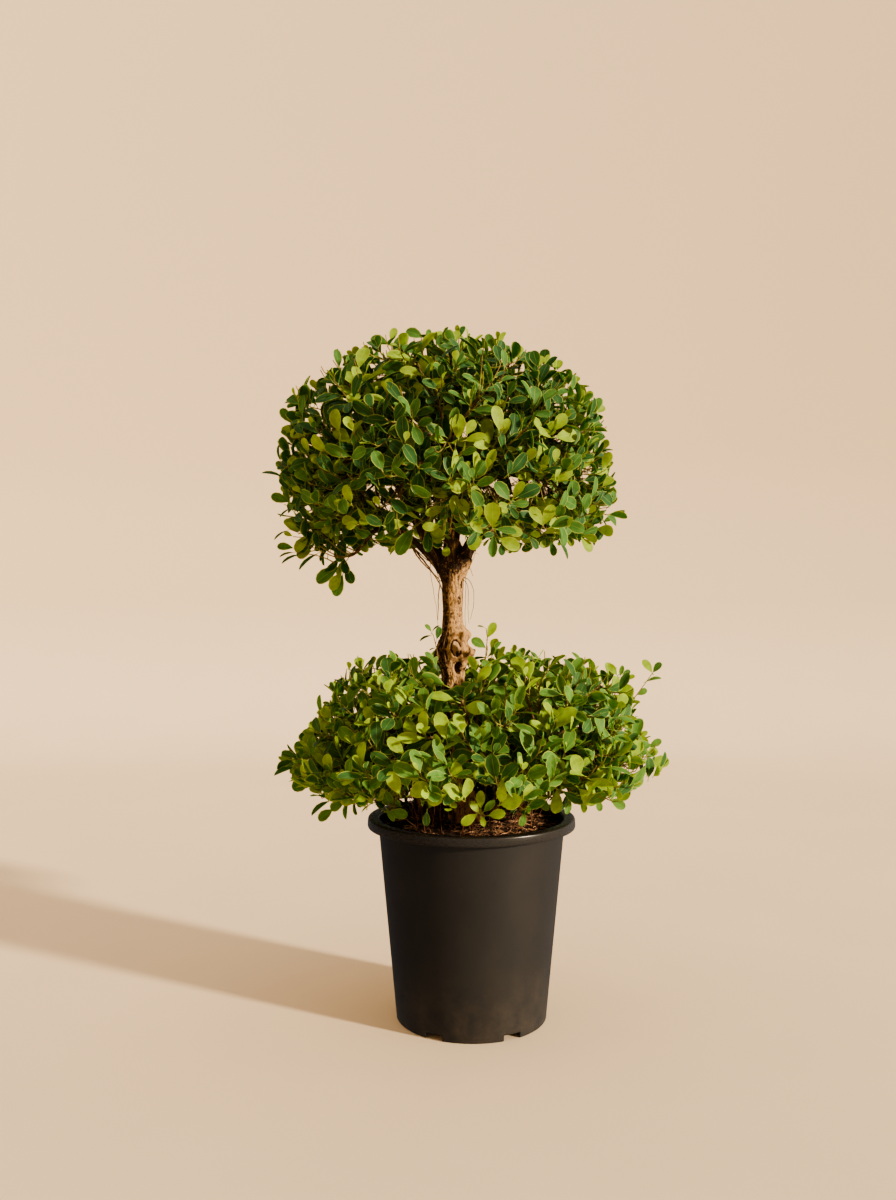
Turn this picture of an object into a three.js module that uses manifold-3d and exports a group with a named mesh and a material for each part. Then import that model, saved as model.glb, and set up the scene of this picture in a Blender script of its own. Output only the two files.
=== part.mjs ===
// A ficus trained as a two-tier topiary: a clipped dome of foliage on a bare trunk, over a loose mound of
// foliage round the trunk's foot, in a black nursery pot. Millimetres, +Z up. The origin is the middle of
// the pot's underside, and -Y is the side that the plant is seen from.
import * as THREE from "three";
import { mergeVertices } from "three/addons/utils/BufferGeometryUtils.js";
import Module from "manifold-3d";

const wasm = await Module();
wasm.setup();

// Pot: a tapered shell with a wide rolled lip, a raised drain channel and notches round its foot.
const POT_FOOT_RADIUS = 162;
const POT_BODY_TOP_RADIUS = 203;
const POT_LIP_RADIUS = 225;
const POT_HEIGHT = 432;
const POT_WALL = 4;
const LIP_DEPTH = 20;
const LIP_EDGE_ROUND = 4;
const LIP_DRAFT = 1;
const LIP_INNER_RADIUS = 199;
const POT_SEGMENTS = 40;
const FLOOR_THICKNESS = 5;
const CENTRE_PAD_RADIUS = 108;
const CHANNEL_RISE = 14;
const NOTCH_COUNT = 6;
const NOTCH_WIDTH = 40;
const NOTCH_HEIGHT = 13;
const NOTCH_DEPTH = 22;

// Soil: fills the pot to just under the rim, a little heaped towards the trunk.
const SOIL_BELOW_RIM = 17;
const SOIL_HEAP = 9;
const SOIL_HEAP_RADIUS = 95;

// Trunk: its centre leans to the left as it rises. Swellings are added to a plain taper.
const TRUNK_FOOT_RADIUS = 28;
const TRUNK_NECK_RADIUS = 21;
const TRUNK_NECK_Z = 870;
const TRUNK_TOP_Z = 1002;
const TRUNK_FOOT_X = -20;
const TRUNK_TOP_X = -40;
const TRUNK_LEAN_HEIGHT = 300;
const TRUNK_SIDES = 10;
const TRUNK_STEPS = 26;
const TRUNK_DOME = 6;
const TRUNK_TOP_RING = 0.999;
const SWELLINGS = [
  { name: "root flare", z: 424, rise: 20, spread: 34 },
  { name: "burl", z: 786, rise: 9, spread: 34 },
  { name: "head", z: 986, rise: 14, spread: 30 },
];
// Knots stand out on one side of the trunk, and a negative one is a hollow.
const KNOTS = [
  { name: "right shoulder", z: 824, azimuth: -15, rise: 11, spread: 17 },
  { name: "right burl", z: 784, azimuth: -20, rise: 13, spread: 19 },
  { name: "left burl", z: 786, azimuth: 190, rise: 8, spread: 28 },
  { name: "pruning scar", z: 798, azimuth: -85, rise: 6, spread: 14 },
  { name: "hollow under the scar", z: 758, azimuth: -72, rise: -6, spread: 12 },
  { name: "stub", z: 896, azimuth: -60, rise: 4, spread: 11 },
  { name: "left head", z: 990, azimuth: 175, rise: 8, spread: 26 },
  { name: "right head", z: 982, azimuth: -30, rise: 7, spread: 24 },
];

// Tiers: each fills a rounded envelope. It reaches out further for a stray, which is a shoot, and less at a dent.
const CROWN = {
  name: "crown",
  clipped: true,
  centre: new THREE.Vector3(-52, 0, 1190),
  halfX: 376,
  halfY: 362,
  up: 291,
  down: 186,
  powerUp: 2.4,
  powerDown: 4.5,
  skirt: 0,
  inner: 0.4,
  lowest: 1026,
  lumps: 0.025,
  leafSize: 1,
  strays: [{ azimuth: 186, elevation: -2, extra: 0.08, spread: 9 }],
  dents: [{ azimuth: 0, elevation: 45, depth: 0.065, spread: 30 }],
};
const MOUND = {
  name: "mound",
  clipped: false,
  centre: new THREE.Vector3(8, 0, 552),
  halfX: 356,
  halfY: 344,
  up: 240,
  down: 106,
  powerUp: 4,
  powerDown: 3,
  skirt: 0.17,
  inner: 0.4,
  lowest: 447,
  lumps: 0.04,
  leafSize: 1.08,
  strays: [
    { azimuth: -12, elevation: 26, extra: 0.23, spread: 9 },
    { azimuth: -48, elevation: 81, extra: 0.22, spread: 12 },
    { azimuth: 196, elevation: 68, extra: 0.22, spread: 12 },
  ],
  dents: [{ azimuth: 180, elevation: 27, depth: 0.08, spread: 12 }],
};
// A skirt is a ring of shoots that reach out further, level with the tier's centre.
const SKIRT_SPREAD = 8.5;
const LUMP_WAVES = [
  { round: 3, high: 2, phase: 0.7, share: 0.5 },
  { round: 5, high: 3, phase: 2.1, share: 0.3 },
  { round: 8, high: 5, phase: 4.4, share: 0.2 },
];
const CROWN_RING = { count: 6, elevation: 2, start: -90 };
const MOUND_RING = { count: 8, elevation: 24, start: -90 };
const STAGGERED = 3;

// Boughs: each carries one mass and ends where it enters it.
const LEADER = { foot: 15, tip: 8, sides: 8, steps: 4, z: 985, stagger: 0, out: 0.5, rise: 0.5 };
const CROWN_BOUGH = { foot: 11, tip: 6, sides: 7, steps: 6, z: 940, stagger: 11, out: 0.55, rise: 0.42 };
const MOUND_BOUGH = { foot: 8.5, tip: 5, sides: 6, steps: 5, z: 466, stagger: 22, out: 0.5, rise: 0.6 };
const LOW_BOUGH = { foot: 7.5, tip: 4.5, sides: 6, steps: 6, z: 930 };

// A spray of its own hangs out on the left, below the crown.
const LOW_SPRAY = {
  bend: new THREE.Vector3(-176, -50, 1122),
  entry: new THREE.Vector3(-232, -58, 1016),
  hub: new THREE.Vector3(-262, -62, 992),
  centre: new THREE.Vector3(-306, -64, 978),
  half: new THREE.Vector3(122, 92, 74),
  ceiling: 1021,
  tips: 6,
  reach: 0.62,
  leafSize: 0.86,
};

// Foliage: one stem to each mass, which forks at a hub into twigs, each with leaves up its outer part.
const STEM = { foot: 6, tip: 5, sides: 5, steps: 3 };
const HUB_REACH = 0.52;
const TIP_REACH = { short: 0.72, long: 0.92, shortEvery: 3 };
const TWIG = { foot: 4.6, tip: 2.6, sides: 3, steps: 1 };
const CORE = { reach: 0.55, out: 38, across: 88, high: 96 };
const LEAF = { length: 98, width: 60, thickness: 4, widest: 0.6, sink: 0.5, turn: 144, firstAt: 0.74 };
const LEAF_LIFT = { first: 1.3, dropPerLength: 0.9, end: 0.35 };
const LEAF_FACES_OUT = 1.6;
const LEAF_SCALES = [1, 0.84, 0.7];
const END_LEAF_SCALES = [1.2, 1.05, 0.9, 0.75, 0.6];
const LEAF_TURNS = [0, 30, -30, 60, -60, 95, -95, 130];
const LEAVES_PER_TWIG = 4;
const CROWN_TIPS = { count: 79, lowest: -0.9, highest: 1 };
const MOUND_TIPS = { count: 93, lowest: -0.62, highest: 0.96 };
const CELL_GAP = 0.9;
const LIMB_GAP = 3;
const EDGE_GAP = 0.5;
const SEAT_GAP = 0.3;
const TRUNK_SPARE = 6;
const TWIG_CHECK = 6;
const TRUNK_CHECK = 30;
const WELD = 1e-3;
const WELD_PASSES = 3;
const SMOOTHING = 0.1;
const SEED = 1207;

const LOOKS = {
  pot: { color: 0x2b2824, roughness: 0.5, metalness: 0 },
  soil: { color: 0x2a1c12, roughness: 1, metalness: 0 },
  bark: { color: 0x8a6a47, roughness: 0.85, metalness: 0 },
  leaf: { color: 0x4d7a1f, roughness: 0.5, metalness: 0 },
};
const UP = new THREE.Vector3(0, 0, 1);
const GOLDEN_ANGLE = Math.PI * (3 - Math.sqrt(5));
const rad = THREE.MathUtils.degToRad;
const bump = (distance, spread) => Math.exp(-((distance / spread) ** 2));

function seeded(seed) {
  let state = seed;
  return () => {
    state = (state * 16807) % 2147483647;
    return state / 2147483647;
  };
}

// Solids
function solidFrom(points, faces) {
  const vertProperties = new Float32Array(points);
  const triVerts = new Uint32Array(faces);
  return new wasm.Manifold(new wasm.Mesh({ numProp: 3, vertProperties, triVerts }));
}

function solidOf(geometry) {
  const bare = geometry.clone();
  bare.deleteAttribute("normal");
  bare.deleteAttribute("uv");
  const merged = mergeVertices(bare, WELD);
  const faces = Array.from(merged.index.array);
  const solid = solidFrom(merged.attributes.position.array, faces);
  return solid.volume() > 0 ? solid : solidFrom(merged.attributes.position.array, faces.reverse());
}

function geometryOf(solid) {
  const { vertProperties, triVerts } = solid.getMesh();
  const geometry = new THREE.BufferGeometry();
  geometry.setAttribute("position", new THREE.BufferAttribute(new Float32Array(vertProperties), 3));
  geometry.setIndex(new THREE.BufferAttribute(new Uint32Array(triVerts), 1));
  return geometry;
}

// The largest body alone: this drops loose scraps and fills the hollows that a union seals.
function wholeBody(solid) {
  const largest = (s) => s.decompose().reduce((a, b) => (b.volume() > a.volume() ? b : a));
  let body = largest(solid).simplify(SMOOTHING);
  for (let pass = 0; pass < WELD_PASSES; pass++) body = largest(solidOf(geometryOf(largest(body))));
  return body;
}

// A limb is a cylinder bent along a curve, with its own radius at each share of its length.
function limb(curve, size, grow = 0) {
  const { foot, tip, sides, steps } = size;
  const frames = curve.computeFrenetFrames(steps);
  const shape = new THREE.CylinderGeometry(1, 1, 1, sides, steps);
  const at = shape.attributes.position;
  for (let i = 0; i < at.count; i++) {
    const share = at.getY(i) + 0.5;
    const ring = Math.round(share * steps);
    const radius = foot + (tip - foot) * share + grow;
    const p = curve.getPointAt(share);
    p.addScaledVector(frames.normals[ring], at.getX(i) * radius);
    p.addScaledVector(frames.binormals[ring], at.getZ(i) * radius);
    at.setXYZ(i, p.x, p.y, p.z);
  }
  return solidOf(shape);
}

function lathe(profile, segments) {
  const shape = new THREE.LatheGeometry(profile.map(([r, z]) => new THREE.Vector2(r, z)), segments);
  shape.rotateX(Math.PI / 2);
  return solidOf(shape);
}

// Pot
const POT_FLARE = (POT_BODY_TOP_RADIUS - POT_FOOT_RADIUS) / POT_HEIGHT;
const bodyRadius = (z) => POT_FOOT_RADIUS + POT_FLARE * z;
const CHANNEL_TOP = CHANNEL_RISE + FLOOR_THICKNESS;

function pot() {
  const lipFoot = POT_HEIGHT - LIP_DEPTH;
  let solid = lathe(
    [
      [0, 0],
      [CENTRE_PAD_RADIUS, 0],
      [CENTRE_PAD_RADIUS + CHANNEL_RISE, CHANNEL_RISE],
      [POT_FOOT_RADIUS - POT_WALL, CHANNEL_RISE],
      [POT_FOOT_RADIUS - POT_WALL, 0],
      [POT_FOOT_RADIUS, 0],
      [bodyRadius(lipFoot), lipFoot],
      [POT_LIP_RADIUS - LIP_EDGE_ROUND / 2, lipFoot],
      [POT_LIP_RADIUS, lipFoot + LIP_EDGE_ROUND],
      [POT_LIP_RADIUS - LIP_DRAFT, POT_HEIGHT - LIP_EDGE_ROUND],
      [POT_LIP_RADIUS - LIP_EDGE_ROUND, POT_HEIGHT],
      [LIP_INNER_RADIUS + LIP_EDGE_ROUND, POT_HEIGHT],
      [LIP_INNER_RADIUS, POT_HEIGHT - LIP_EDGE_ROUND],
      [bodyRadius(lipFoot) - POT_WALL, lipFoot],
      [bodyRadius(CHANNEL_TOP) - POT_WALL, CHANNEL_TOP],
      [CENTRE_PAD_RADIUS + CHANNEL_RISE - FLOOR_THICKNESS, CHANNEL_TOP],
      [CENTRE_PAD_RADIUS - FLOOR_THICKNESS, FLOOR_THICKNESS],
      [0, FLOOR_THICKNESS],
    ],
    POT_SEGMENTS,
  );
  for (let k = 0; k < NOTCH_COUNT; k++) {
    const box = new THREE.BoxGeometry(NOTCH_DEPTH, NOTCH_WIDTH, NOTCH_HEIGHT * 2);
    box.translate(POT_FOOT_RADIUS - NOTCH_DEPTH / 2 + POT_WALL, 0, 0);
    box.rotateZ(rad((360 / NOTCH_COUNT) * k));
    solid = solid.subtract(solidOf(box));
  }
  return solid;
}

// Soil: the pot's inside, a seat gap smaller all round, up to the heaped surface.
const SOIL_EDGE = POT_HEIGHT - SOIL_BELOW_RIM;
const SOIL_TOP = SOIL_EDGE + SOIL_HEAP;

function soil() {
  const inside = (z) => bodyRadius(z) - POT_WALL - 2 * SEAT_GAP;
  const low = CHANNEL_TOP + SEAT_GAP;
  const pad = CENTRE_PAD_RADIUS - FLOOR_THICKNESS - 2 * SEAT_GAP;
  return lathe(
    [
      [0, FLOOR_THICKNESS + SEAT_GAP],
      [pad, FLOOR_THICKNESS + SEAT_GAP],
      [pad + CHANNEL_RISE, low],
      [inside(low), low],
      [inside(SOIL_EDGE - LIP_EDGE_ROUND), SOIL_EDGE - LIP_EDGE_ROUND],
      [LIP_INNER_RADIUS - LIP_EDGE_ROUND, SOIL_EDGE],
      [SOIL_HEAP_RADIUS, SOIL_TOP],
      [0, SOIL_TOP],
    ],
    POT_SEGMENTS,
  );
}

// Trunk, or with grow above 0 the space that other limbs keep out of.
const TRUNK_FOOT_Z = SOIL_TOP + SEAT_GAP;

function trunkCentre(z) {
  const lean = THREE.MathUtils.smoothstep(z, TRUNK_FOOT_Z, TRUNK_FOOT_Z + TRUNK_LEAN_HEIGHT);
  return new THREE.Vector3(TRUNK_FOOT_X + (TRUNK_TOP_X - TRUNK_FOOT_X) * lean, 0, z);
}

function trunkRadius(z, azimuth) {
  const down = THREE.MathUtils.clamp((TRUNK_NECK_Z - z) / (TRUNK_NECK_Z - TRUNK_FOOT_Z), 0, 1);
  let radius = TRUNK_NECK_RADIUS + (TRUNK_FOOT_RADIUS - TRUNK_NECK_RADIUS) * down;
  for (const s of SWELLINGS) radius += s.rise * bump(z - s.z, s.spread);
  for (const k of KNOTS) {
    const turn = azimuth - rad(k.azimuth);
    const round = Math.atan2(Math.sin(turn), Math.cos(turn)) * radius;
    radius += k.rise * bump(Math.hypot(z - k.z, round), k.spread);
  }
  return radius;
}

function trunk(grow = 0) {
  const shape = new THREE.CylinderGeometry(1, 1, 1, TRUNK_SIDES, TRUNK_STEPS);
  const at = shape.attributes.position;
  for (let i = 0; i < at.count; i++) {
    const share = at.getY(i) + 0.5;
    const z = TRUNK_FOOT_Z + share * (TRUNK_TOP_Z - TRUNK_FOOT_Z);
    const azimuth = Math.atan2(at.getZ(i), at.getX(i));
    const spread = Math.hypot(at.getX(i), at.getZ(i));
    const out = spread * (trunkRadius(z, azimuth) + grow);
    const p = trunkCentre(z);
    const dome = share > TRUNK_TOP_RING ? grow + TRUNK_DOME * (1 - spread) : 0;
    at.setXYZ(i, p.x + out * Math.cos(azimuth), p.y + out * Math.sin(azimuth), z + dome);
  }
  return solidOf(shape);
}

// Envelopes
function direction(azimuth, elevation) {
  const flat = Math.cos(rad(elevation));
  const round = rad(azimuth);
  return new THREE.Vector3(flat * Math.cos(round), flat * Math.sin(round), Math.sin(rad(elevation)));
}

function swellOf(tier, v) {
  const round = Math.atan2(v.y, v.x);
  const high = Math.atan2(v.z, Math.hypot(v.x, v.y));
  let swell = 1 + tier.skirt * bump(high, rad(SKIRT_SPREAD));
  for (const w of LUMP_WAVES) {
    const wave = Math.sin(w.round * round + w.phase) * Math.cos(w.high * high + w.phase);
    swell += tier.lumps * w.share * wave;
  }
  for (const s of tier.strays) {
    swell += s.extra * bump(v.angleTo(direction(s.azimuth, s.elevation)), rad(s.spread));
  }
  for (const d of tier.dents) {
    swell -= d.depth * bump(v.angleTo(direction(d.azimuth, d.elevation)), rad(d.spread));
  }
  return swell;
}

// How far out a point lies in its tier: 0 at the centre, 1 on the envelope.
function reachOf(tier, p) {
  const v = p.clone().sub(tier.centre);
  const power = v.z > 0 ? tier.powerUp : tier.powerDown;
  const level = Math.hypot(v.x / tier.halfX, v.y / tier.halfY);
  const rise = Math.abs(v.z) / (v.z > 0 ? tier.up : tier.down);
  return (level ** power + rise ** power) ** (1 / power) / swellOf(tier, v);
}

// The point of a tier at a given reach, in the direction that a point on a ball stands for.
function pointAt(tier, ball, reach) {
  const high = ball.z > 0 ? tier.up : tier.down;
  const v = new THREE.Vector3(ball.x * tier.halfX, ball.y * tier.halfY, ball.z * high);
  return tier.centre.clone().addScaledVector(v, reach / reachOf(tier, v.clone().add(tier.centre)));
}

function nearest(v, axes) {
  return axes.reduce((best, axis, i) => (axis.dot(v) > axes[best].dot(v) ? i : best), 0);
}

// Evenly spread points on a ball and those of the strays, each given to the mass whose axis is nearest.
function spreadTips({ count, lowest, highest }, axes, strays = []) {
  const shares = axes.map(() => []);
  for (const ball of strays) shares[nearest(ball, axes)].push(ball);
  for (let i = 0; i < count; i++) {
    const z = 1 - (2 * i + 1) / count;
    if (z < lowest || z > highest) continue;
    const flat = Math.sqrt(1 - z * z);
    const round = i * GOLDEN_ANGLE;
    const ball = new THREE.Vector3(flat * Math.cos(round), flat * Math.sin(round), z);
    shares[nearest(ball, axes)].push(ball);
  }
  return shares;
}

// A mass's own space: its wedge of the tier, between the inner and the outer envelope.
function wedgeOf(tier, axes, index) {
  const others = axes.filter((axis, i) => i !== index);
  const walls = others.map((axis) => axes[index].clone().sub(axis).normalize());
  return (p, spare) => {
    const reach = reachOf(tier, p);
    if (reach > 1 || reach < tier.inner || p.z < tier.lowest) return false;
    const v = p.clone().sub(tier.centre);
    return walls.every((wall) => wall.dot(v) > CELL_GAP + spare);
  };
}

// Limbs already grown, which twigs and leaves keep clear of.
const limbs = [];

function remember(curve, size) {
  for (let k = 0; k < size.steps; k++) {
    limbs.push({
      line: new THREE.Line3(curve.getPointAt(k / size.steps), curve.getPointAt((k + 1) / size.steps)),
      radius: size.foot + ((size.tip - size.foot) * k) / size.steps,
    });
  }
}

function clearOfLimbs(p, spare) {
  const on = new THREE.Vector3();
  return limbs.every(({ line, radius }) => {
    line.closestPointToPoint(p, true, on);
    return on.distanceTo(p) > radius + spare;
  });
}

// Foliage
// A leaf is flat below and ridged along its middle: foot, tip, two sides and the top of the ridge.
const LEAF_FACES = [0, 4, 2, 2, 4, 1, 1, 4, 3, 3, 4, 0, 0, 2, 3, 1, 3, 2];

function leafCorners(foot, along, face, scale) {
  const side = new THREE.Vector3().crossVectors(face, along).normalize();
  const up = new THREE.Vector3().crossVectors(along, side);
  const middle = foot.clone().addScaledVector(along, LEAF.length * LEAF.widest * scale);
  return [
    foot,
    foot.clone().addScaledVector(along, LEAF.length * scale),
    middle.clone().addScaledVector(side, (LEAF.width / 2) * scale),
    middle.clone().addScaledVector(side, (-LEAF.width / 2) * scale),
    middle.clone().addScaledVector(up, LEAF.thickness),
  ];
}

function touches(solid, others) {
  const { min, max } = solid.boundingBox();
  return others.some((other) => {
    const box = other.boundingBox();
    const apart = [0, 1, 2].some((i) => box.min[i] > max[i] || box.max[i] < min[i]);
    return !apart && !solid.intersect(other).isEmpty();
  });
}

// One leaf where it fits: turned or made smaller until it crosses nothing but its own twig.
function leafOn(path, share, turn, space, others, size) {
  const end = share === 1;
  const at = path.getPoint(share);
  const along = path.getTangent(share);
  const face = along.clone().multiplyScalar(LEAF_FACES_OUT).add(UP);
  const lift = end ? LEAF_LIFT.end : LEAF_LIFT.first - LEAF_LIFT.dropPerLength * (share - LEAF.firstAt);
  for (const scale of end ? END_LEAF_SCALES : LEAF_SCALES) {
    for (const extra of LEAF_TURNS) {
      const across = new THREE.Vector3().crossVectors(along, UP).normalize();
      across.applyAxisAngle(along, turn + rad(extra));
      const aim = along.clone().multiplyScalar(Math.cos(lift)).addScaledVector(across, Math.sin(lift));
      const corners = leafCorners(at.clone().addScaledVector(aim, -LEAF.sink), aim, face, scale * size);
      if (!corners.every((c) => space(c, EDGE_GAP) && clearOfLimbs(c, LIMB_GAP))) continue;
      const solid = solidFrom(corners.flatMap((c) => c.toArray()), LEAF_FACES);
      if (!touches(solid, others)) return solid;
    }
  }
  return null;
}

function twigFits(path, space) {
  const stops = Math.ceil(path.getLength() / TWIG_CHECK);
  return Array.from({ length: stops + 1 }, (_, i) => path.getPoint(i / stops)).every((p) => {
    return space(p, TWIG.foot) && clearOfLimbs(p, TWIG.foot + LIMB_GAP);
  });
}

// The closely grown inside of a clipped mass, a flattened ball that faces along the mass's axis.
function coreSolid({ centre, axis }) {
  const round = new THREE.IcosahedronGeometry(1, 1);
  round.scale(CORE.across, CORE.high, CORE.out);
  round.lookAt(axis);
  round.translate(centre.x, centre.y, centre.z);
  return solidOf(round).subtract(wasm.Manifold.union(taken));
}

// Twigs first, then their leaves from the tips inwards, so that the outline is filled before the inside.
function mass(job) {
  const lines = job.tips.map((tip) => new THREE.LineCurve3(job.hub, tip));
  const twigs = lines.filter((path) => twigFits(path, job.space));
  const pieces = [limb(job.stem, STEM), ...twigs.map((path) => limb(path, TWIG))];
  if (job.core) pieces.push(coreSolid(job.core));
  const spins = twigs.map(() => random() * Math.PI * 2);
  for (let k = 0; k < LEAVES_PER_TWIG; k++) {
    const share = 1 - ((1 - LEAF.firstAt) * k) / (LEAVES_PER_TWIG - 1);
    twigs.forEach((path, i) => {
      const others = [...taken, ...pieces.filter((piece, n) => n !== i + 1)];
      const leaf = leafOn(path, share, spins[i] + rad(LEAF.turn) * k, job.space, others, job.leafSize);
      if (leaf) pieces.push(leaf);
    });
  }
  return wholeBody(wasm.Manifold.union(pieces));
}

// Nodes
const topiary = new THREE.Group();
function addNode(name, solid, look) {
  const mesh = new THREE.Mesh(geometryOf(solid), new THREE.MeshStandardMaterial(look));
  mesh.name = name;
  topiary.add(mesh);
}

addNode("pot", pot(), LOOKS.pot);
addNode("soil", soil(), LOOKS.soil);
addNode("trunk", trunk(), LOOKS.bark);
for (let z = TRUNK_FOOT_Z; z < TRUNK_TOP_Z; z += TRUNK_CHECK) {
  const line = new THREE.Line3(trunkCentre(z), trunkCentre(Math.min(z + TRUNK_CHECK, TRUNK_TOP_Z)));
  limbs.push({ line, radius: trunkRadius(z, 0) + TRUNK_SPARE });
}

// A bough is cut a seat gap clear of the trunk and of the boughs made before it.
const taken = [trunk(SEAT_GAP)];
function bough(name, from, bend, to, size) {
  const curve = new THREE.QuadraticBezierCurve3(from, bend, to);
  const cleared = wholeBody(limb(curve, size).subtract(wasm.Manifold.union(taken)));
  taken.push(limb(curve, size, SEAT_GAP));
  remember(curve, size);
  addNode(name, cleared, LOOKS.bark);
  return curve.getTangentAt(1);
}

function stemLine(entry, along, hub) {
  const from = entry.clone().addScaledVector(along, SEAT_GAP);
  const bend = from.clone().addScaledVector(along, from.distanceTo(hub) / 2);
  return new THREE.QuadraticBezierCurve3(from, bend, hub);
}

const tipReach = (i) => (i % TIP_REACH.shortEvery === 1 ? TIP_REACH.short : TIP_REACH.long);

// Every bough is grown before any mass, so that the leaves can keep clear of them all.
const jobs = [];
const random = seeded(SEED);
function planTier(tier, axes, tipRule, sizeOf) {
  const half = new THREE.Vector3(tier.halfX, tier.halfY, tier.up);
  const strays = tier.strays.map((s) => direction(s.azimuth, s.elevation).divide(half).normalize());
  const shares = spreadTips(tipRule, axes, strays);
  axes.forEach((axis, k) => {
    const size = sizeOf(k);
    const entry = pointAt(tier, axis, tier.inner);
    const hub = pointAt(tier, axis, HUB_REACH);
    const from = trunkCentre(size.z + size.stagger * (k % STAGGERED));
    const shape = new THREE.Vector3(size.out, size.out, size.rise);
    const bend = entry.clone().sub(from).multiply(shape).add(from);
    const along = bough(`${tier.name}_bough_${k + 1}`, from, bend, entry, size);
    jobs.push({
      name: `${tier.name}_foliage_${k + 1}`,
      space: wedgeOf(tier, axes, k),
      stem: stemLine(entry, along, hub),
      hub,
      leafSize: tier.leafSize,
      tips: shares[k].map((ball, i) => pointAt(tier, ball, tipReach(i))),
      core: tier.clipped && { centre: pointAt(tier, axis, CORE.reach), axis },
    });
  });
}

function planLowSpray() {
  const { bend, entry, hub, centre, half, ceiling } = LOW_SPRAY;
  const along = bough("low_spray_bough", trunkCentre(LOW_BOUGH.z), bend, entry, LOW_BOUGH);
  const [ball] = spreadTips({ count: LOW_SPRAY.tips, lowest: -1, highest: 1 }, [UP]);
  jobs.push({
    name: "low_spray_foliage",
    space: (p, spare) => p.z < ceiling - spare && p.clone().sub(centre).divide(half).length() < 1,
    stem: stemLine(entry, along, hub),
    hub,
    leafSize: LOW_SPRAY.leafSize,
    tips: ball.map((v) => v.multiply(half).multiplyScalar(LOW_SPRAY.reach).add(centre)),
  });
}

const ringAxes = ({ count, elevation, start }) =>
  Array.from({ length: count }, (_, k) => direction(start + (360 / count) * k, elevation));
const crownAxes = [direction(0, 90), ...ringAxes(CROWN_RING)];
planTier(CROWN, crownAxes, CROWN_TIPS, (k) => (k === 0 ? LEADER : CROWN_BOUGH));
planTier(MOUND, ringAxes(MOUND_RING), MOUND_TIPS, () => MOUND_BOUGH);
planLowSpray();
for (const job of jobs) addNode(job.name, mass(job), LOOKS.leaf);

export default topiary;
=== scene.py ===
"""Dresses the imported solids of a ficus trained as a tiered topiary: bark, twigs, leaves, soil and pot.

Metres, +Z up, in the frame of the solids. The boughs, twigs and leaves grow by the rule that the solids were
made with, carried on to finer shoots within the same reach.
"""

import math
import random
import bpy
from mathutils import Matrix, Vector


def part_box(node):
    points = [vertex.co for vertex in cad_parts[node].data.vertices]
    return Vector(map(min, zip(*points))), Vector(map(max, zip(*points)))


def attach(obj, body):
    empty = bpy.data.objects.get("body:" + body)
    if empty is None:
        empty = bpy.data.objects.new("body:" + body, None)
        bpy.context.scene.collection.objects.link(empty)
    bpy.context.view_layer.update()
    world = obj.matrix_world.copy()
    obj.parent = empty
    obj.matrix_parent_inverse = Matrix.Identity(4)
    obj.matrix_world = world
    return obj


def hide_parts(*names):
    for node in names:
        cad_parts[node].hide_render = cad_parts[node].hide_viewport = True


bl_info = {
    "name": "Ficus tiered topiary",
    "version": (1, 0, 0),
    "blender": (4, 5, 0),
    "location": "View3D > Sidebar > Topiary",
    "description": "Grows a two-tier ficus topiary in a nursery pot and sets its studio",
    "category": "Add Mesh",
}

from itertools import product
from types import SimpleNamespace

import bmesh
import bpy
from mathutils import Matrix, Vector, noise

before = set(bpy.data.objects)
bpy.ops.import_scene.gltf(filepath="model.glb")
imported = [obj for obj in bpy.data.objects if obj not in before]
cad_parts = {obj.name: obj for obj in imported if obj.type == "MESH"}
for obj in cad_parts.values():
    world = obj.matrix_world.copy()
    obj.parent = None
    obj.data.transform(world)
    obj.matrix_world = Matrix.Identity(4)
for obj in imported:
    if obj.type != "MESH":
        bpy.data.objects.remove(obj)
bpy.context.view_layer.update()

NODES = sorted(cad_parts)
CROWN_MASSES = [n for n in NODES if n.startswith("crown_foliage")] + ["low_spray_foliage"]
MOUND_MASSES = [n for n in NODES if n.startswith("mound_foliage")]
BOUGHS = [n for n in NODES if "bough" in n]
POT_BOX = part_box("pot")
SOIL_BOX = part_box("soil")
TRUNK_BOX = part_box("trunk")

AXES = (Vector((1, 0, 0)), Vector((0, 1, 0)), Vector((0, 0, 1)))
UP = AXES[2]
NEIGHBOURS = tuple(product((-1, 0, 1), repeat=3))
GOLDEN_ANGLE = math.pi * (3 - math.sqrt(5))
MM = 0.001


# Envelopes of the two tiers, as in the solids' source.
CROWN = SimpleNamespace(
    name="crown",
    centre=Vector((-0.052, 0, 1.19)),
    half_x=0.376,
    half_y=0.362,
    up=0.291,
    down=0.186,
    power_up=2.4,
    power_down=4.5,
    skirt=0,
    inner=0.4,
    lowest=1.012,
    lumps=0.025,
    strays=[(180, 24, 0.02, 15), (0, 45, -0.065, 30), (0, -4, -0.02, 22), (0, 68, -0.02, 20)],
    ring=(6, 2, -90),
    topped=True,
)
MOUND = SimpleNamespace(
    name="mound",
    centre=Vector((0.008, 0, 0.552)),
    half_x=0.356,
    half_y=0.344,
    up=0.24,
    down=0.106,
    power_up=4,
    power_down=3,
    skirt=0.17,
    inner=0.4,
    lowest=0.447,
    lumps=0.04,
    strays=[(-12, 26, 0.06, 9), (-48, 81, 0.08, 12), (196, 68, 0.1, 12), (180, 27, -0.08, 12)],
    ring=(8, 24, -90),
    topped=False,
)
SKIRT_SPREAD = 8.5
LUMP_WAVES = ((3, 2, 0.7, 0.5), (5, 3, 2.1, 0.3), (8, 5, 4.4, 0.2))
HUB_REACH = 0.52
TWIG_REACH = 0.8
# How far in from the envelope shoots end, at the surface and within, and how much they draw to their twig.
DEPTH = (0.006, 0.036)
DEPTH_WITHIN = (0.07, 0.19)
CLUMPING = 0.16
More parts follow.
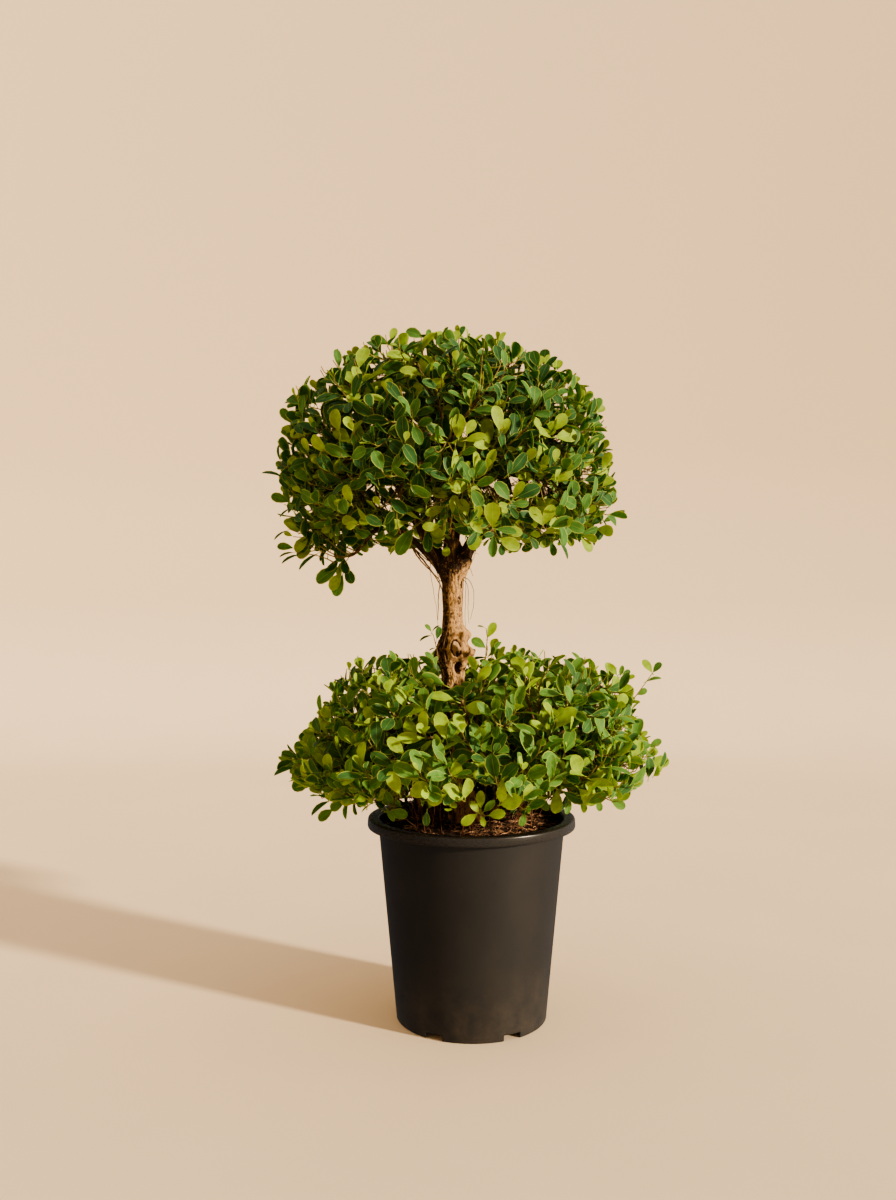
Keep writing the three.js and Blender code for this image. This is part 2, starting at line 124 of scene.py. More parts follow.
# Gaps through the crown: x and z at its front, x and z at its back, half width, half height and the share of
# leaves kept there.
GAP_FRONT = -0.36
GAP_BACK = 0.36
GAPS = (
    ((0.082, 1.106), (0.13, 1.181), 0.088, 0.03, 0.22),
    ((-0.18, 1.09), (-0.226, 1.158), 0.066, 0.03, 0.4),
    ((-0.046, 1.084), (-0.052, 1.15), 0.06, 0.02, 0.4),
    ((-0.016, 1.211), (-0.003, 1.324), 0.018, 0.017, 0.12),
    ((0.15, 1.202), (0.223, 1.311), 0.017, 0.012, 0),
    ((0.207, 1.132), (0.3, 1.216), 0.014, 0.022, 0.1),
    ((-0.29, 1.246), (-0.377, 1.372), 0.012, 0.017, 0.1),
    ((-0.117, 1.042), (-0.141, 1.093), 0.015, 0.014, 0.1),
)
# Single shoots with a place of their own: knees of the shoot, most leaves, leaf length and hue.
STRAY_SHOOTS = (
    (((0.0, -0.04, 0.72), (0.03, -0.05, 0.74), (0.046, -0.06, 0.79)), 4, 0.032, "mid"),
    (((-0.03, -0.06, 0.47), (-0.035, -0.12, 0.52), (-0.035, -0.18, 0.508)), 3, 0.038, "fresh"),
    (((-0.2, -0.08, 0.52), (-0.24, -0.1, 0.5), (-0.262, -0.1, 0.482)), 5, 0.04, "mid"),
    (((-0.29, -0.05, 0.56), (-0.35, -0.05, 0.565), (-0.38, -0.05, 0.56)), 5, 0.04, "deep"),
    (((0.08, -0.14, 1.11), (0.15, -0.22, 1.08), (0.168, -0.27, 1.05)), 6, 0.046, "mid"),
    (((0.2, -0.04, 1.08), (0.27, -0.05, 1.085), (0.288, -0.05, 1.082)), 5, 0.042, "mid"),
    (((0.18, -0.04, 1.07), (0.24, -0.05, 1.06), (0.262, -0.05, 1.052)), 6, 0.04, "deep"),
    (((0.16, -0.06, 1.07), (0.21, -0.08, 1.05), (0.228, -0.08, 1.035)), 5, 0.04, "mid"),
    (((-0.12, -0.1, 1.13), (-0.18, -0.16, 1.1), (-0.196, -0.2, 1.078)), 3, 0.05, "deep"),
    (((-0.29, -0.05, 1.09), (-0.34, -0.05, 1.09), (-0.37, -0.05, 1.075)), 6, 0.042, "mid"),
    (((-0.25, -0.06, 1.03), (-0.31, -0.06, 1.035), (-0.335, -0.05, 1.05)), 6, 0.042, "mid"),
    (((-0.25, -0.06, 1.005), (-0.3, -0.05, 1.028), (-0.33, -0.04, 1.026)), 6, 0.042, "deep"),
    (((-0.2, -0.05, 1.06), (-0.22, -0.05, 1.04), (-0.222, -0.05, 1.028)), 2, 0.036, "deep"),
    (((-0.25, -0.06, 1.03), (-0.27, -0.05, 1.01), (-0.281, -0.05, 0.983)), 7, 0.042, "deep"),
    (((-0.24, -0.05, 1.04), (-0.31, -0.05, 1.02), (-0.338, -0.05, 1.004)), 6, 0.04, "deep"),
)
LOWEST_CROWN_LIMB = 0.9

# The sprays that stand out of each tier, in mm: the y of the leaves' tips, the twig's knees, and the leaves,
# each with its base and tip as x and z, its kind and its hue. The hue is partly the leaf's own colour and
# partly
# painted light and shade: fresh where a leaf lay in sun, deep where it lay in shade, mid where partly shaded.
SPRAYS = {
    "crown": (
        (-310, ((-20, -140, 1111), (26, -270, 1064), (34, -300, 1035)), (
            (34, 1035, 33, 1084, 3, "fresh"), (38, 1035, 79, 1026, 0, "mid"),
            (17, 1025, -8, 1049, 0, "fresh"), (16, 1023, -9, 996, 3, "fresh"),
            (6, 1030, -14, 1003, 0, "deep"), (37, 1024, 34, 980, 0, "mid"), (51, 1008, 51, 985, 2, "deep"),
            (45, 1018, 84, 998, 2, "fresh"), (52, 1035, 89, 1027, 1, "fresh"),
            (40, 1025, 19, 1022, 2, "deep"), (8, 1053, 7, 1078, 3, "fresh"),
        )),
        (-310, ((-6, -160, 1123), (50, -260, 1099), (68, -300, 1086)), (
            (67, 1088, 40, 1123, 2, "mid"), (72, 1092, 90, 1124, 1, "fresh"),
            (77, 1093, 122, 1115, 2, "deep"), (69, 1083, 101, 1083, 1, "mid"),
            (66, 1079, 81, 1053, 0, "deep"), (64, 1082, 46, 1078, 3, "fresh"),
            (59, 1080, 55, 1064, 3, "fresh"),
        )),
        (-290, ((55, -160, 1103), (109, -250, 1065), (131, -280, 1042)), (
            (131, 1042, 109, 1077, 1, "fresh"), (131, 1042, 149, 1081, 1, "fresh"),
            (143, 1038, 184, 1057, 1, "mid"),
        )),
        (-250, ((73, -220, 1058), (90, -240, 1043), (108, -250, 1024)), (
            (108, 1024, 125, 1000, 1, "deep"),
        )),
        (-250, ((122, -200, 1047), (139, -240, 1031), (149, -250, 1015)), (
            (149, 1015, 157, 986, 1, "deep"), (159, 1022, 186, 982, 4, "deep"),
        )),
        (-235, ((-88, -140, 1084), (-106, -200, 1059), (-118, -220, 1043)), (
            (-118, 1043, -151, 992, 1, "mid"), (-134, 1051, -167, 1047, 2, "fresh"),
        )),
        (-270, ((-67, -140, 1115), (-86, -240, 1084), (-93, -260, 1080)), (
            (-93, 1082, -92, 1121, 0, "mid"), (-45, 1101, -82, 1110, 1, "fresh"),
        )),
        (-235, ((-75, -140, 1074), (-85, -200, 1055), (-89, -220, 1040)), (
            (-89, 1040, -89, 993, 0, "deep"), (-91, 1032, -65, 1014, 2, "fresh"),
            (-53, 1008, -55, 986, 3, "fresh"),
        )),
        (-280, ((-36, -140, 1105), (-43, -240, 1072), (-42, -270, 1064)), (
            (-43, 1066, -37, 1100, 1, "fresh"), (-12, 1060, -27, 1093, 2, "fresh"),
            (-42, 1037, -5, 1031, 1, "deep"),
        )),
        (-65, ((-225, -50, 1028), (-258, -60, 1002), (-276, -60, 965)), (
            (-279, 971, -331, 941, 1, "mid"), (-273, 956, -291, 909, 1, "mid"),
            (-277, 959, -299, 921, 2, "fresh"), (-267, 970, -253, 935, 2, "deep"),
            (-269, 974, -263, 940, 4, "deep"), (-268, 1036, -285, 982, 1, "deep"),
        )),
        (-65, ((-270, -50, 1034), (-322, -60, 1036), (-344, -60, 1036)), (
            (-364, 1045, -394, 1062, 0, "fresh"), (-354, 1044, -376, 1073, 1, "deep"),
            (-391, 1048, -420, 1030, 4, "deep"), (-344, 1036, -375, 1004, 2, "fresh"),
            (-341, 1036, -364, 1002, 1, "deep"), (-340, 1065, -365, 1092, 0, "mid"),
            (-285, 1092, -331, 1078, 2, "mid"),
        )),
        (-65, ((-290, -60, 978), (-326, -60, 1000), (-364, -60, 997)), (
            (-377, 1010, -412, 1016, 1, "mid"), (-376, 1001, -408, 994, 4, "deep"),
            (-364, 997, -404, 981, 4, "deep"), (-305, 1002, -303, 1024, 1, "deep"),
            (-324, 1000, -369, 968, 4, "deep"),
        )),
        (-35, ((-338, -20, 1159), (-368, -30, 1156), (-403, -30, 1163)), (
            (-403, 1163, -449, 1177, 4, "deep"), (-390, 1110, -430, 1125, 1, "mid"),
            (-386, 1098, -413, 1080, 4, "deep"), (-379, 1229, -416, 1243, 4, "deep"),
        )),
        (-35, ((-316, -20, 1288), (-343, -30, 1304), (-362, -30, 1319)), (
            (-362, 1321, -361, 1354, 0, "deep"), (-366, 1320, -401, 1326, 4, "deep"),
            (-386, 1278, -409, 1311, 1, "mid"),
        )),
        (-50, ((-170, -50, 1400), (-170, -50, 1428), (-172, -50, 1447)), (
            (-172, 1447, -164, 1481, 1, "fresh"), (-176, 1443, -215, 1460, 2, "mid"),
            (-170, 1443, -142, 1462, 1, "mid"),
        )),
        (-50, ((-93, -50, 1407), (-95, -50, 1432), (-100, -50, 1456)), (
            (-102, 1458, -140, 1475, 2, "mid"), (-89, 1451, -63, 1473, 1, "fresh"),
            (-98, 1456, -89, 1477, 1, "mid"),
        )),
    ),
    "mound": (
        (-65, ((28, -50, 755), (30, -60, 797), (33, -60, 819)), (
            (33, 819, 48, 852, 1, "fresh"), (28, 841, 12, 846, 4, "deep"), (30, 798, 0, 818, 2, "mid"),
        )),
        (-50, ((-72, -40, 772), (-74, -45, 798), (-83, -50, 828)), (
            (-86, 832, -98, 849, 1, "mid"), (-85, 832, -70, 847, 4, "deep"), (-85, 825, -112, 815, 4, "deep"),
            (-75, 815, -68, 843, 1, "deep"), (-76, 798, -91, 794, 4, "deep"),
        )),
        (-195, ((-5, -120, 508), (10, -170, 490), (15, -185, 475)), (
            (15, 481, 14, 517, 1, "fresh"), (12, 473, -4, 497, 1, "fresh"), (9, 472, -23, 453, 1, "fresh"),
            (17, 469, 21, 449, 1, "fresh"), (29, 468, 63, 475, 2, "fresh"), (20, 475, 43, 501, 0, "mid"),
        )),
        (-190, ((149, -120, 539), (131, -170, 525), (118, -180, 514)), (
            (113, 514, 87, 539, 0, "fresh"), (113, 506, 83, 500, 1, "mid"), (121, 510, 150, 479, 0, "mid"),
            (114, 540, 89, 556, 2, "fresh"), (127, 553, 116, 582, 2, "fresh"),
            (140, 553, 159, 563, 2, "fresh"), (104, 474, 96, 448, 1, "mid"),
        )),
        (-170, ((185, -120, 559), (175, -155, 538), (170, -160, 518)), (
            (170, 518, 168, 469, 1, "fresh"), (213, 523, 169, 537, 0, "mid"), (197, 499, 187, 468, 0, "mid"),
        )),
        (-180, ((-42, -120, 545), (-63, -160, 519), (-61, -170, 501)), (
            (-60, 499, -33, 483, 0, "fresh"), (-55, 503, -19, 498, 0, "deep"),
            (-93, 475, -95, 447, 1, "deep"), (-81, 504, -88, 485, 1, "mid"), (-43, 557, -61, 583, 1, "fresh"),
        )),
        (-175, ((-139, -120, 508), (-158, -160, 495), (-174, -165, 473)), (
            (-174, 471, -133, 468, 1, "mid"), (-175, 477, -159, 454, 0, "mid"),
            (-152, 510, -152, 542, 0, "deep"),
        )),
        (0, ((313, 0, 635), (357, 0, 688), (394, 0, 741)), (
            (394, 741, 375, 770, 1, "fresh"), (394, 741, 412, 765, 1, "deep"), (380, 722, 413, 733, 4, "mid"),
            (360, 693, 382, 706, 2, "mid"),
        )),
        (0, ((306, 0, 672), (315, 0, 704), (321, 0, 733)), (
            (318, 735, 299, 761, 1, "fresh"), (323, 733, 329, 758, 0, "mid"), (326, 730, 345, 748, 1, "deep"),
        )),
        (-55, ((300, -40, 526), (345, -50, 545), (373, -50, 566)), (
            (373, 577, 360, 611, 2, "fresh"), (376, 586, 402, 603, 1, "mid"),
            (373, 553, 420, 558, 2, "fresh"), (370, 561, 334, 545, 1, "mid"), (310, 528, 353, 501, 1, "mid"),
        )),
        (-55, ((274, -40, 526), (279, -50, 500), (294, -50, 477)), (
            (294, 477, 326, 458, 2, "mid"), (268, 479, 273, 451, 1, "mid"),
        )),
        (-85, ((-310, -70, 562), (-336, -80, 570), (-366, -80, 566)), (
            (-366, 568, -400, 581, 0, "deep"), (-368, 549, -417, 537, 4, "deep"),
            (-334, 527, -378, 504, 2, "deep"), (-294, 560, -328, 588, 1, "fresh"),
            (-291, 556, -340, 542, 2, "mid"),
        )),
        (-85, ((-257, -70, 510), (-271, -80, 486), (-292, -80, 474)), (
            (-297, 479, -340, 452, 4, "deep"), (-291, 461, -323, 439, 2, "mid"),
        )),
        (-300, ((-106, -200, 582), (-124, -270, 598), (-133, -290, 604)), (
            (-133, 604, -163, 637, 1, "fresh"), (-116, 568, -165, 588, 2, "mid"),
        )),
        (-310, ((-43, -200, 582), (-47, -280, 613), (-53, -300, 631)), (
            (-53, 632, -68, 686, 1, "fresh"), (-51, 632, -39, 670, 1, "mid"),
        )),
    ),
}
# A leaf of the last kind is a long one, seen from its edge.
EDGEWISE = 4
EDGEWISE_SHAPE = 2
# How far in front of a placed leaf's middle no other leaf's middle may come near, in three steps.
KEPT_FREE = (0, 0.016, 0.032)
SHORTEST_STALK = 0.004
LEADER = SimpleNamespace(foot=0.015, tip=0.008, z=0.985, stagger=0, out=0.5, rise=0.5)
CROWN_BOUGH = SimpleNamespace(foot=0.011, tip=0.006, z=0.94, stagger=0.011, out=0.55, rise=0.42)
MOUND_BOUGH = SimpleNamespace(foot=0.0085, tip=0.005, z=0.466, stagger=0.022, out=0.5, rise=0.6)
LOW_BOUGH = SimpleNamespace(foot=0.0075, tip=0.0045, z=0.93)
LOW_SPRAY = SimpleNamespace(
    bend=Vector((-0.176, -0.05, 1.122)),
    entry=Vector((-0.232, -0.058, 1.016)),
    hub=Vector((-0.262, -0.062, 0.992)),
    centre=Vector((-0.335, -0.04, 1.035)),
    half=Vector((0.07, 0.07, 0.045)),
    ceiling=1.09,
    # Mostly deep leaves: partly painted shade, as the spray hangs in shade below the crown.
    hues=(0.6, 0.25, 0.15),
)

# Trunk, as in the solids' source: a leaning taper with swellings and one-sided knots.
TRUNK_FOOT_Z = TRUNK_BOX[0].z
TRUNK_TOP_Z = TRUNK_BOX[1].z
TRUNK = SimpleNamespace(
    foot=0.028,
    neck=0.021,
    neck_z=0.87,
    foot_x=-0.02,
    top_x=-0.04,
    lean=0.3,
    burl_radius=0.034,
)
SWELLINGS = ((0.424, 0.02, 0.034), (0.786, 0.009, 0.034), (0.986, 0.014, 0.03))
KNOTS = (
    (0.824, -15, 0.011, 0.017),
    (0.784, -20, 0.013, 0.019),
    (0.786, 190, 0.008, 0.028),
    (0.798, -85, 0.006, 0.014),
    (0.758, -72, -0.006, 0.012),
    (0.896, -60, 0.004, 0.011),
    (0.99, 175, 0.008, 0.026),
    (0.982, -30, 0.007, 0.024),
)
LUMPS = (
    (0.828, -14, 0.006, 0.01),
    (0.788, -20, 0.007, 0.011),
    (0.807, -16, -0.007, 0.007),
    (0.768, -30, -0.004, 0.008),
    (0.772, 186, 0.004, 0.012),
    (0.798, 192, -0.004, 0.008),
    (0.9, -58, 0.004, 0.006),
    (0.955, -25, 0.004, 0.008),
    (0.975, -95, 0.005, 0.009),
    (0.967, -140, 0.004, 0.01),
)
HANGING_ROOTS = (
    (0.0022, (-0.125, -0.03, 1.012), (-0.096, -0.034, 0.975), (-0.078, -0.03, 0.955), (-0.064, -0.02, 0.925)),
    (0.0017, (-0.13, -0.012, 1.02), (-0.116, -0.03, 0.98), (-0.085, -0.03, 0.965), (-0.066, -0.014, 0.94)),
    (
        0.0013,
        (-0.067, -0.022, 0.935),
        (-0.074, -0.026, 0.91),
        (-0.071, -0.028, 0.88),
        (-0.0725, -0.026, 0.857),
    ),
    (0.0008, (-0.018, -0.015, 0.948), (0.006, -0.03, 0.95), (0.012, -0.026, 0.9), (-0.003, -0.024, 0.858)),
    (0.0007, (-0.017, -0.015, 0.944), (0.0, -0.03, 0.93), (-0.012, -0.026, 0.9), (-0.005, -0.024, 0.85)),
    (0.0007, (-0.014, -0.012, 0.97), (0.004, -0.02, 0.972), (-0.002, -0.022, 0.955), (0.004, -0.024, 0.952)),
    (0.0007, (-0.02, 0.03, 0.99), (-0.004, 0.045, 0.95), (-0.016, 0.034, 0.9), (-0.012, 0.03, 0.83)),
    (0.0006, (-0.09, 0.02, 0.99), (-0.09, 0.04, 0.93), (-0.074, 0.02, 0.9), (-0.073, 0.024, 0.84)),
)
# Heights where the bark changes: a swirl above and below the neck, rings between, and the head: dark, fibrous
# bark and painted shade under the crown
BARK = SimpleNamespace(
    swirl_above=0.925,
    swirl_below=0.8,
    rings_z=0.872,
    rings_spread=0.05,
    head_z=0.972,
    burl_top=0.83,
)
# Marks on the burl. The scar's bare wood and its raised lip end at these shares of its half width.
SCAR = SimpleNamespace(azimuth=-78, z=0.797, half_wide=0.0125, half_high=0.0195, tilt=9, healed=0.76, lip=1.5)
# Pits in the burl, the largest of them its hollow, each sunk and painted crack-dark as painted shade.
PITS = (
    SimpleNamespace(azimuth=-61, z=0.754, half_wide=0.0125, half_high=0.0135, tilt=25, deep=0.013),
    SimpleNamespace(azimuth=-74, z=0.786, half_wide=0.0035, half_high=0.0045, tilt=0, deep=0.003),
    SimpleNamespace(azimuth=-55, z=0.904, half_wide=0.0052, half_high=0.0038, tilt=-15, deep=0.002),
)

# Leaves, for a blade that is one unit long
LEAF_STATIONS = (0.12, 0.36, 0.62, 0.84, 0.96)
PETIOLE = 0.16
# Where a stalk's three-sided rod starts and ends along its leaf, with its half width and height there.
STALK_STATIONS = ((-PETIOLE - 0.02, 0.024, 0.03), (0.12, 0.014, 0.016))
# Each kind of leaf: its name, width, place of its widest part, fold along the middle and backward bend.
LEAF_KINDS = (
    ("broad", 0.69, 0.68, 0.2, 0.1),
    ("oval", 0.63, 0.61, 0.28, 0.18),
    ("long", 0.55, 0.65, 0.2, 0.24),
    ("young", 0.5, 0.58, 0.45, 0.04),
)
YOUNG_KIND = 3
PHYLLOTAXY = math.radians(144)
BLADE_HUES = ("deep", "mid", "fresh")

# The pot's lip, the raised floor and pad under it, and its drain notches
LIP_DEPTH = 0.02
ROLL = 0.0045
PAD_RADIUS = 0.106
CHANNEL_INNER = 0.122
CHANNEL_ROOF = 0.014
BASE_TOP = 0.019
NOTCHES = 6
NOTCH_SIZE = (0.022, 0.04, 0.026, 1)

# The soil, and the litter on it, which is thinned below an x at the left, so that fewer pale fibres show
# there: painted shade
SOIL_RADIUS = 0.1965
SOIL_FOOT = 0.155
LITTER = SimpleNamespace(
    count=850,
    radius=0.192,
    limit=0.194,
    length=(0.008, 0.034),
    arch=0.003,
    lift=0.0012,
    shaded_x=-0.03,
    bare=0.6,
)

# Colours that belong to no setting
BARE_WOOD = (0.42, 0.28, 0.17, 1)
# A pale tint mixed into the pot's lip: a painted highlight.
LIP_HIGHLIGHT_TINT = (0.2, 0.17, 0.13, 1)
DUST = (0.16, 0.12, 0.08, 1)
SOIL_COLOURS = ((0.016, 0.009, 0.006, 1), (0.05, 0.027, 0.015, 1))
LITTER_COLOURS = ((0.56, 0.33, 0.2, 1), (0.09, 0.042, 0.025, 1))

# Studio
STAGE = SimpleNamespace(flat=3.4, curve=2.0, height=7.5, stretch=3, end_rise=0.7)
KEY = SimpleNamespace(heading=Vector((-0.84, 0.48, -0.26)), spread=4, colour=(1.0, 0.83, 0.62))
FILL = SimpleNamespace(from_side=(0.6, -0.55, 0.58), dim=(0.31, 0.3, 0.31, 1), bright=(2.5, 2.26, 1.95, 1))
CAMERA = SimpleNamespace(at=(-0.0507, -2.349, 0.9), lens=32.4, sensor=36, clip=60)


rad = math.radians


def clamped(value):
    return min(max(value, 0), 1)


def wrapped(angle):
    """The same angle, within half a turn of nought."""
    return math.atan2(math.sin(angle), math.cos(angle))


def bump(distance, spread):
    return math.exp(-((distance / spread) ** 2))


def polar(flat, angle, z):
    """The point at a distance from the upright axis, towards an angle, at a height."""
    return Vector((flat * math.cos(angle), flat * math.sin(angle), z))


def direction(azimuth, elevation):
    return polar(math.cos(rad(elevation)), rad(azimuth), math.sin(rad(elevation)))


# Settings that a user would change
COLOUR = {"size": 3, "subtype": "COLOR", "min": 0, "max": 1}
POT_SIZE = {"min": 0.05, "unit": "LENGTH"}


class PotSettings(bpy.types.PropertyGroup):
    lip_radius: bpy.props.FloatProperty(
        name="Lip radius", description="Outer radius of the rolled lip", default=POT_BOX[1].x, **POT_SIZE
    )
    height: bpy.props.FloatProperty(
        name="Height", description="From the floor to the top of the lip", default=POT_BOX[1].z, **POT_SIZE
    )
    foot_radius: bpy.props.FloatProperty(
        name="Foot radius", description="Outer radius at the floor", default=0.162, **POT_SIZE
    )
    body_top_radius: bpy.props.FloatProperty(
        name="Body radius", description="Outer radius just under the lip", default=0.203, **POT_SIZE
    )
    wall: bpy.props.FloatProperty(
        name="Wall", description="Thickness of the moulded wall", default=0.004, min=0.001, unit="LENGTH"
    )
    colour: bpy.props.FloatVectorProperty(
        name="Plastic", description="Colour of the plastic", default=(0.0115, 0.0098, 0.008), **COLOUR
    )


class WoodSettings(bpy.types.PropertyGroup):
    relief: bpy.props.FloatProperty(
        name="Bark relief", description="Depth of the bark's ridges", default=0.0022, min=0, unit="LENGTH"
    )
    ridge: bpy.props.FloatVectorProperty(
        name="Ridges", description="Colour of the bark's high parts", default=(0.47, 0.288, 0.13), **COLOUR
    )
    crack: bpy.props.FloatVectorProperty(
        name="Cracks", description="Colour of the bark's deep parts", default=(0.035, 0.018, 0.01), **COLOUR
    )
    twig: bpy.props.FloatVectorProperty(
        name="Twigs", description="Colour of the older twigs", default=(0.13, 0.075, 0.035), **COLOUR
    )
    stem: bpy.props.FloatVectorProperty(
        name="Stems", description="Colour of the stems below the mound", default=(0.24, 0.11, 0.055), **COLOUR
    )
    shoot: bpy.props.FloatVectorProperty(
        name="Shoots", description="Colour of this year's shoots", default=(0.24, 0.22, 0.05), **COLOUR
    )


class TierSettings(bpy.types.PropertyGroup):
    shoots: bpy.props.IntProperty(
        name="Shoots", description="Number of leafy shoots at the tier's surface", default=420, min=8
    )
    fill: bpy.props.IntProperty(
        name="Inner shoots", description="Number of leafy shoots deeper in the tier", default=380, min=0
    )
    leaves: bpy.props.IntProperty(name="Leaves", description="Most leaves on one shoot", default=14, min=2)
    leaf_length: bpy.props.FloatProperty(
        name="Leaf length", description="Length of a grown blade", default=0.0465, min=0.005, unit="LENGTH"
    )
    # Besides the oldest and youngest sprays, deep and fresh also serve placed leaves as painted shade and
    # painted light.
    deep: bpy.props.FloatVectorProperty(
        name="Deep leaves", description="Colour of the oldest sprays", default=(0.031, 0.09, 0.031), **COLOUR
    )
    mid: bpy.props.FloatVectorProperty(
        name="Mid leaves", description="Colour of most sprays", default=(0.068, 0.167, 0.044), **COLOUR
    )
    fresh: bpy.props.FloatVectorProperty(
        name="Fresh leaves", description="Colour of the young sprays", default=(0.222, 0.346, 0.046), **COLOUR
    )
    margin: bpy.props.FloatVectorProperty(
        name="Margins",
        description="Colour of the leaves' margins, midribs and stalks",
        default=(0.36, 0.44, 0.1),
        **COLOUR,
    )
    youngest: bpy.props.FloatProperty(
        name="Youngest leaf",
        description="Size of the leaf at a shoot's tip, as a share of a grown one",
        default=0.46,
        min=0.1,
        max=1,
    )
    seed: bpy.props.IntProperty(name="Seed", description="Seed of the growing rule", default=1207)


class StudioSettings(bpy.types.PropertyGroup):
    floor: bpy.props.FloatVectorProperty(
        name="Floor", description="Colour of the floor", default=(0.77, 0.65, 0.49), **COLOUR
    )
    wall: bpy.props.FloatVectorProperty(
        name="Backdrop",
        description="Colour that the floor turns to as it rises behind",
        default=(0.62, 0.515, 0.375),
        **COLOUR,
    )
    key_strength: bpy.props.FloatProperty(
        name="Key light", description="Strength of the low key light", default=7.8, min=0
    )
    fill_strength: bpy.props.FloatProperty(
        name="Fill light", description="Strength of the light from all round", default=0.5, min=0
    )


# Envelopes
def swell_of(tier, v):
    """How far the tier's envelope swells out in the direction v."""
    round_angle = math.atan2(v.y, v.x)
    high = math.atan2(v.z, math.hypot(v.x, v.y))
    swell = 1 + tier.skirt * bump(high, rad(SKIRT_SPREAD))
    for waves_round, waves_high, phase, share in LUMP_WAVES:
        across = math.sin(waves_round * round_angle + phase)
        swell += tier.lumps * share * across * math.cos(waves_high * high + phase)
    for azimuth, elevation, extra, spread in tier.strays:
        swell += extra * bump(v.angle(direction(azimuth, elevation), 0), rad(spread))
    return swell


def reach_of(tier, p):
    """How far out a point lies in its tier: 0 at the centre, 1 on the envelope."""
    v = p - tier.centre
    power = tier.power_up if v.z > 0 else tier.power_down
    level = math.hypot(v.x / tier.half_x, v.y / tier.half_y)
    rise = abs(v.z) / (tier.up if v.z > 0 else tier.down)
    return (level**power + rise**power) ** (1 / power) / swell_of(tier, v)


def point_at(tier, ball, reach):
    """The point of a tier at a given reach, in the direction that a point on a ball stands for."""
    v = Vector((ball.x * tier.half_x, ball.y * tier.half_y, ball.z * (tier.up if ball.z > 0 else tier.down)))
    return tier.centre + v * (reach / reach_of(tier, v + tier.centre))


def outward(tier, p):
    """The envelope's outward normal near a point, by the change of reach over a short step."""
    step = 0.002
    change = [reach_of(tier, p + axis * step) - reach_of(tier, p - axis * step) for axis in AXES]
    return Vector(change).normalized()


def spread_balls(count, lowest, highest):
    """Evenly spread points on a ball."""
    balls = []
    for i in range(count):
        z = 1 - (2 * i + 1) / count
        if lowest <= z <= highest:
            balls.append(polar(math.sqrt(1 - z * z), i * GOLDEN_ANGLE, z))
    return balls


def tier_axes(tier):
    """The directions of the tier's boughs."""
    count, elevation, start = tier.ring
    ring = [direction(start + 360 / count * k, elevation) for k in range(count)]
    return ([UP.copy()] if tier.topped else []) + ring


def in_gap(p):
    """The share of leaves kept at a point: less than 1 in a gap through the crown."""
    along = (p.y - GAP_FRONT) / (GAP_BACK - GAP_FRONT)
    kept = 1
    for front, back, half_wide, half_high, share in GAPS:
        x = front[0] + (back[0] - front[0]) * along
        z = front[1] + (back[1] - front[1]) * along
        if math.hypot((p.x - x) / half_wide, (p.z - z) / half_high) < 1:
            kept = min(kept, share)
    return kept


def nearest(v, axes):
    return max(range(len(axes)), key=lambda i: axes[i].dot(v))


# Trunk shape
def trunk_centre(z):
    share = clamped((z - TRUNK_FOOT_Z) / TRUNK.lean)
    lean = share * share * (3 - 2 * share)
    return Vector((TRUNK.foot_x + (TRUNK.top_x - TRUNK.foot_x) * lean, 0, z))


def knobbed(radius, knobs, z, azimuth):
    """The radius at a height and azimuth with one-sided knobs and dents added, one after the other."""
    for at, side, rise, spread in knobs:
        round_way = wrapped(azimuth - rad(side)) * radius
        radius += rise * bump(math.hypot(z - at, round_way), spread)
    return radius


def trunk_radius(z, azimuth):
    down = clamped((TRUNK.neck_z - z) / (TRUNK.neck_z - TRUNK_FOOT_Z))
    radius = TRUNK.neck + (TRUNK.foot - TRUNK.neck) * down
    for at, rise, spread in SWELLINGS:
        radius += rise * bump(z - at, spread)
    return knobbed(radius, KNOTS, z, azimuth)


def off_trunk(p, spare):
    """Whether a point keeps clear of the trunk."""
    if p.z < TRUNK_FOOT_Z - spare or p.z > TRUNK_TOP_Z + spare:
        return True
    centre = trunk_centre(p.z)
    flat = Vector((p.x - centre.x, p.y - centre.y))
    return flat.length > trunk_radius(p.z, math.atan2(flat.y, flat.x)) + spare


def line_off_trunk(line, spare):
    return all(off_trunk(p, spare) for p in line)


# Lines that limbs follow
def bezier(points, steps):
    """Points along a quadratic or cubic Bezier curve."""
    line = []
    for i in range(steps + 1):
        layer = [p.copy() for p in points]
        while len(layer) > 1:
            layer = [a.lerp(b, i / steps) for a, b in zip(layer, layer[1:])]
        line.append(layer[0])
    return line


def along_line(line, share):
    """Point and direction at a share of a line's number of steps."""
    at = clamped(share) * (len(line) - 1)
    i = min(int(at), len(line) - 2)
    return line[i].lerp(line[i + 1], at - i), (line[i + 1] - line[i]).normalized()


def limb(line, foot, tip):
    """A line with the radius at each of its points, which goes evenly from foot to tip."""
    return line, [foot + (tip - foot) * i / (len(line) - 1) for i in range(len(line))]


def jitter(rng, amount):
    return Vector((rng.uniform(-1, 1), rng.uniform(-1, 1), rng.uniform(-1, 1))) * amount


# Growth
# Radii of limbs at their foot and tip.
TWIG = (3.4 * MM, 1.3 * MM)
SPRAY_STEM = (3.6 * MM, 2.8 * MM)
SHOOT = (1.6 * MM, 0.9 * MM)
STRAY = (1.5 * MM, 0.8 * MM)
STALK = (1.0 * MM, 0.7 * MM)
SKIRT_STEM = (1.3 * MM, 0.8 * MM)
# Least distance from the trunk's surface: of leaves and shoots, of strays and bare twigs, and of bare stems.
SHOOT_SPARE = 0.004
STRAY_SPARE = 0.003
STEM_SPARE = 0.002
SHORTEST_SHOOT = 0.02
# How far a shoot follows its twig and then its own end's direction, as shares of its reach.
SHOOT_BEND = (0.35, 0.4)
# Side of the cells by which a leaf's neighbours are looked up.
LEAF_CELL = 0.03
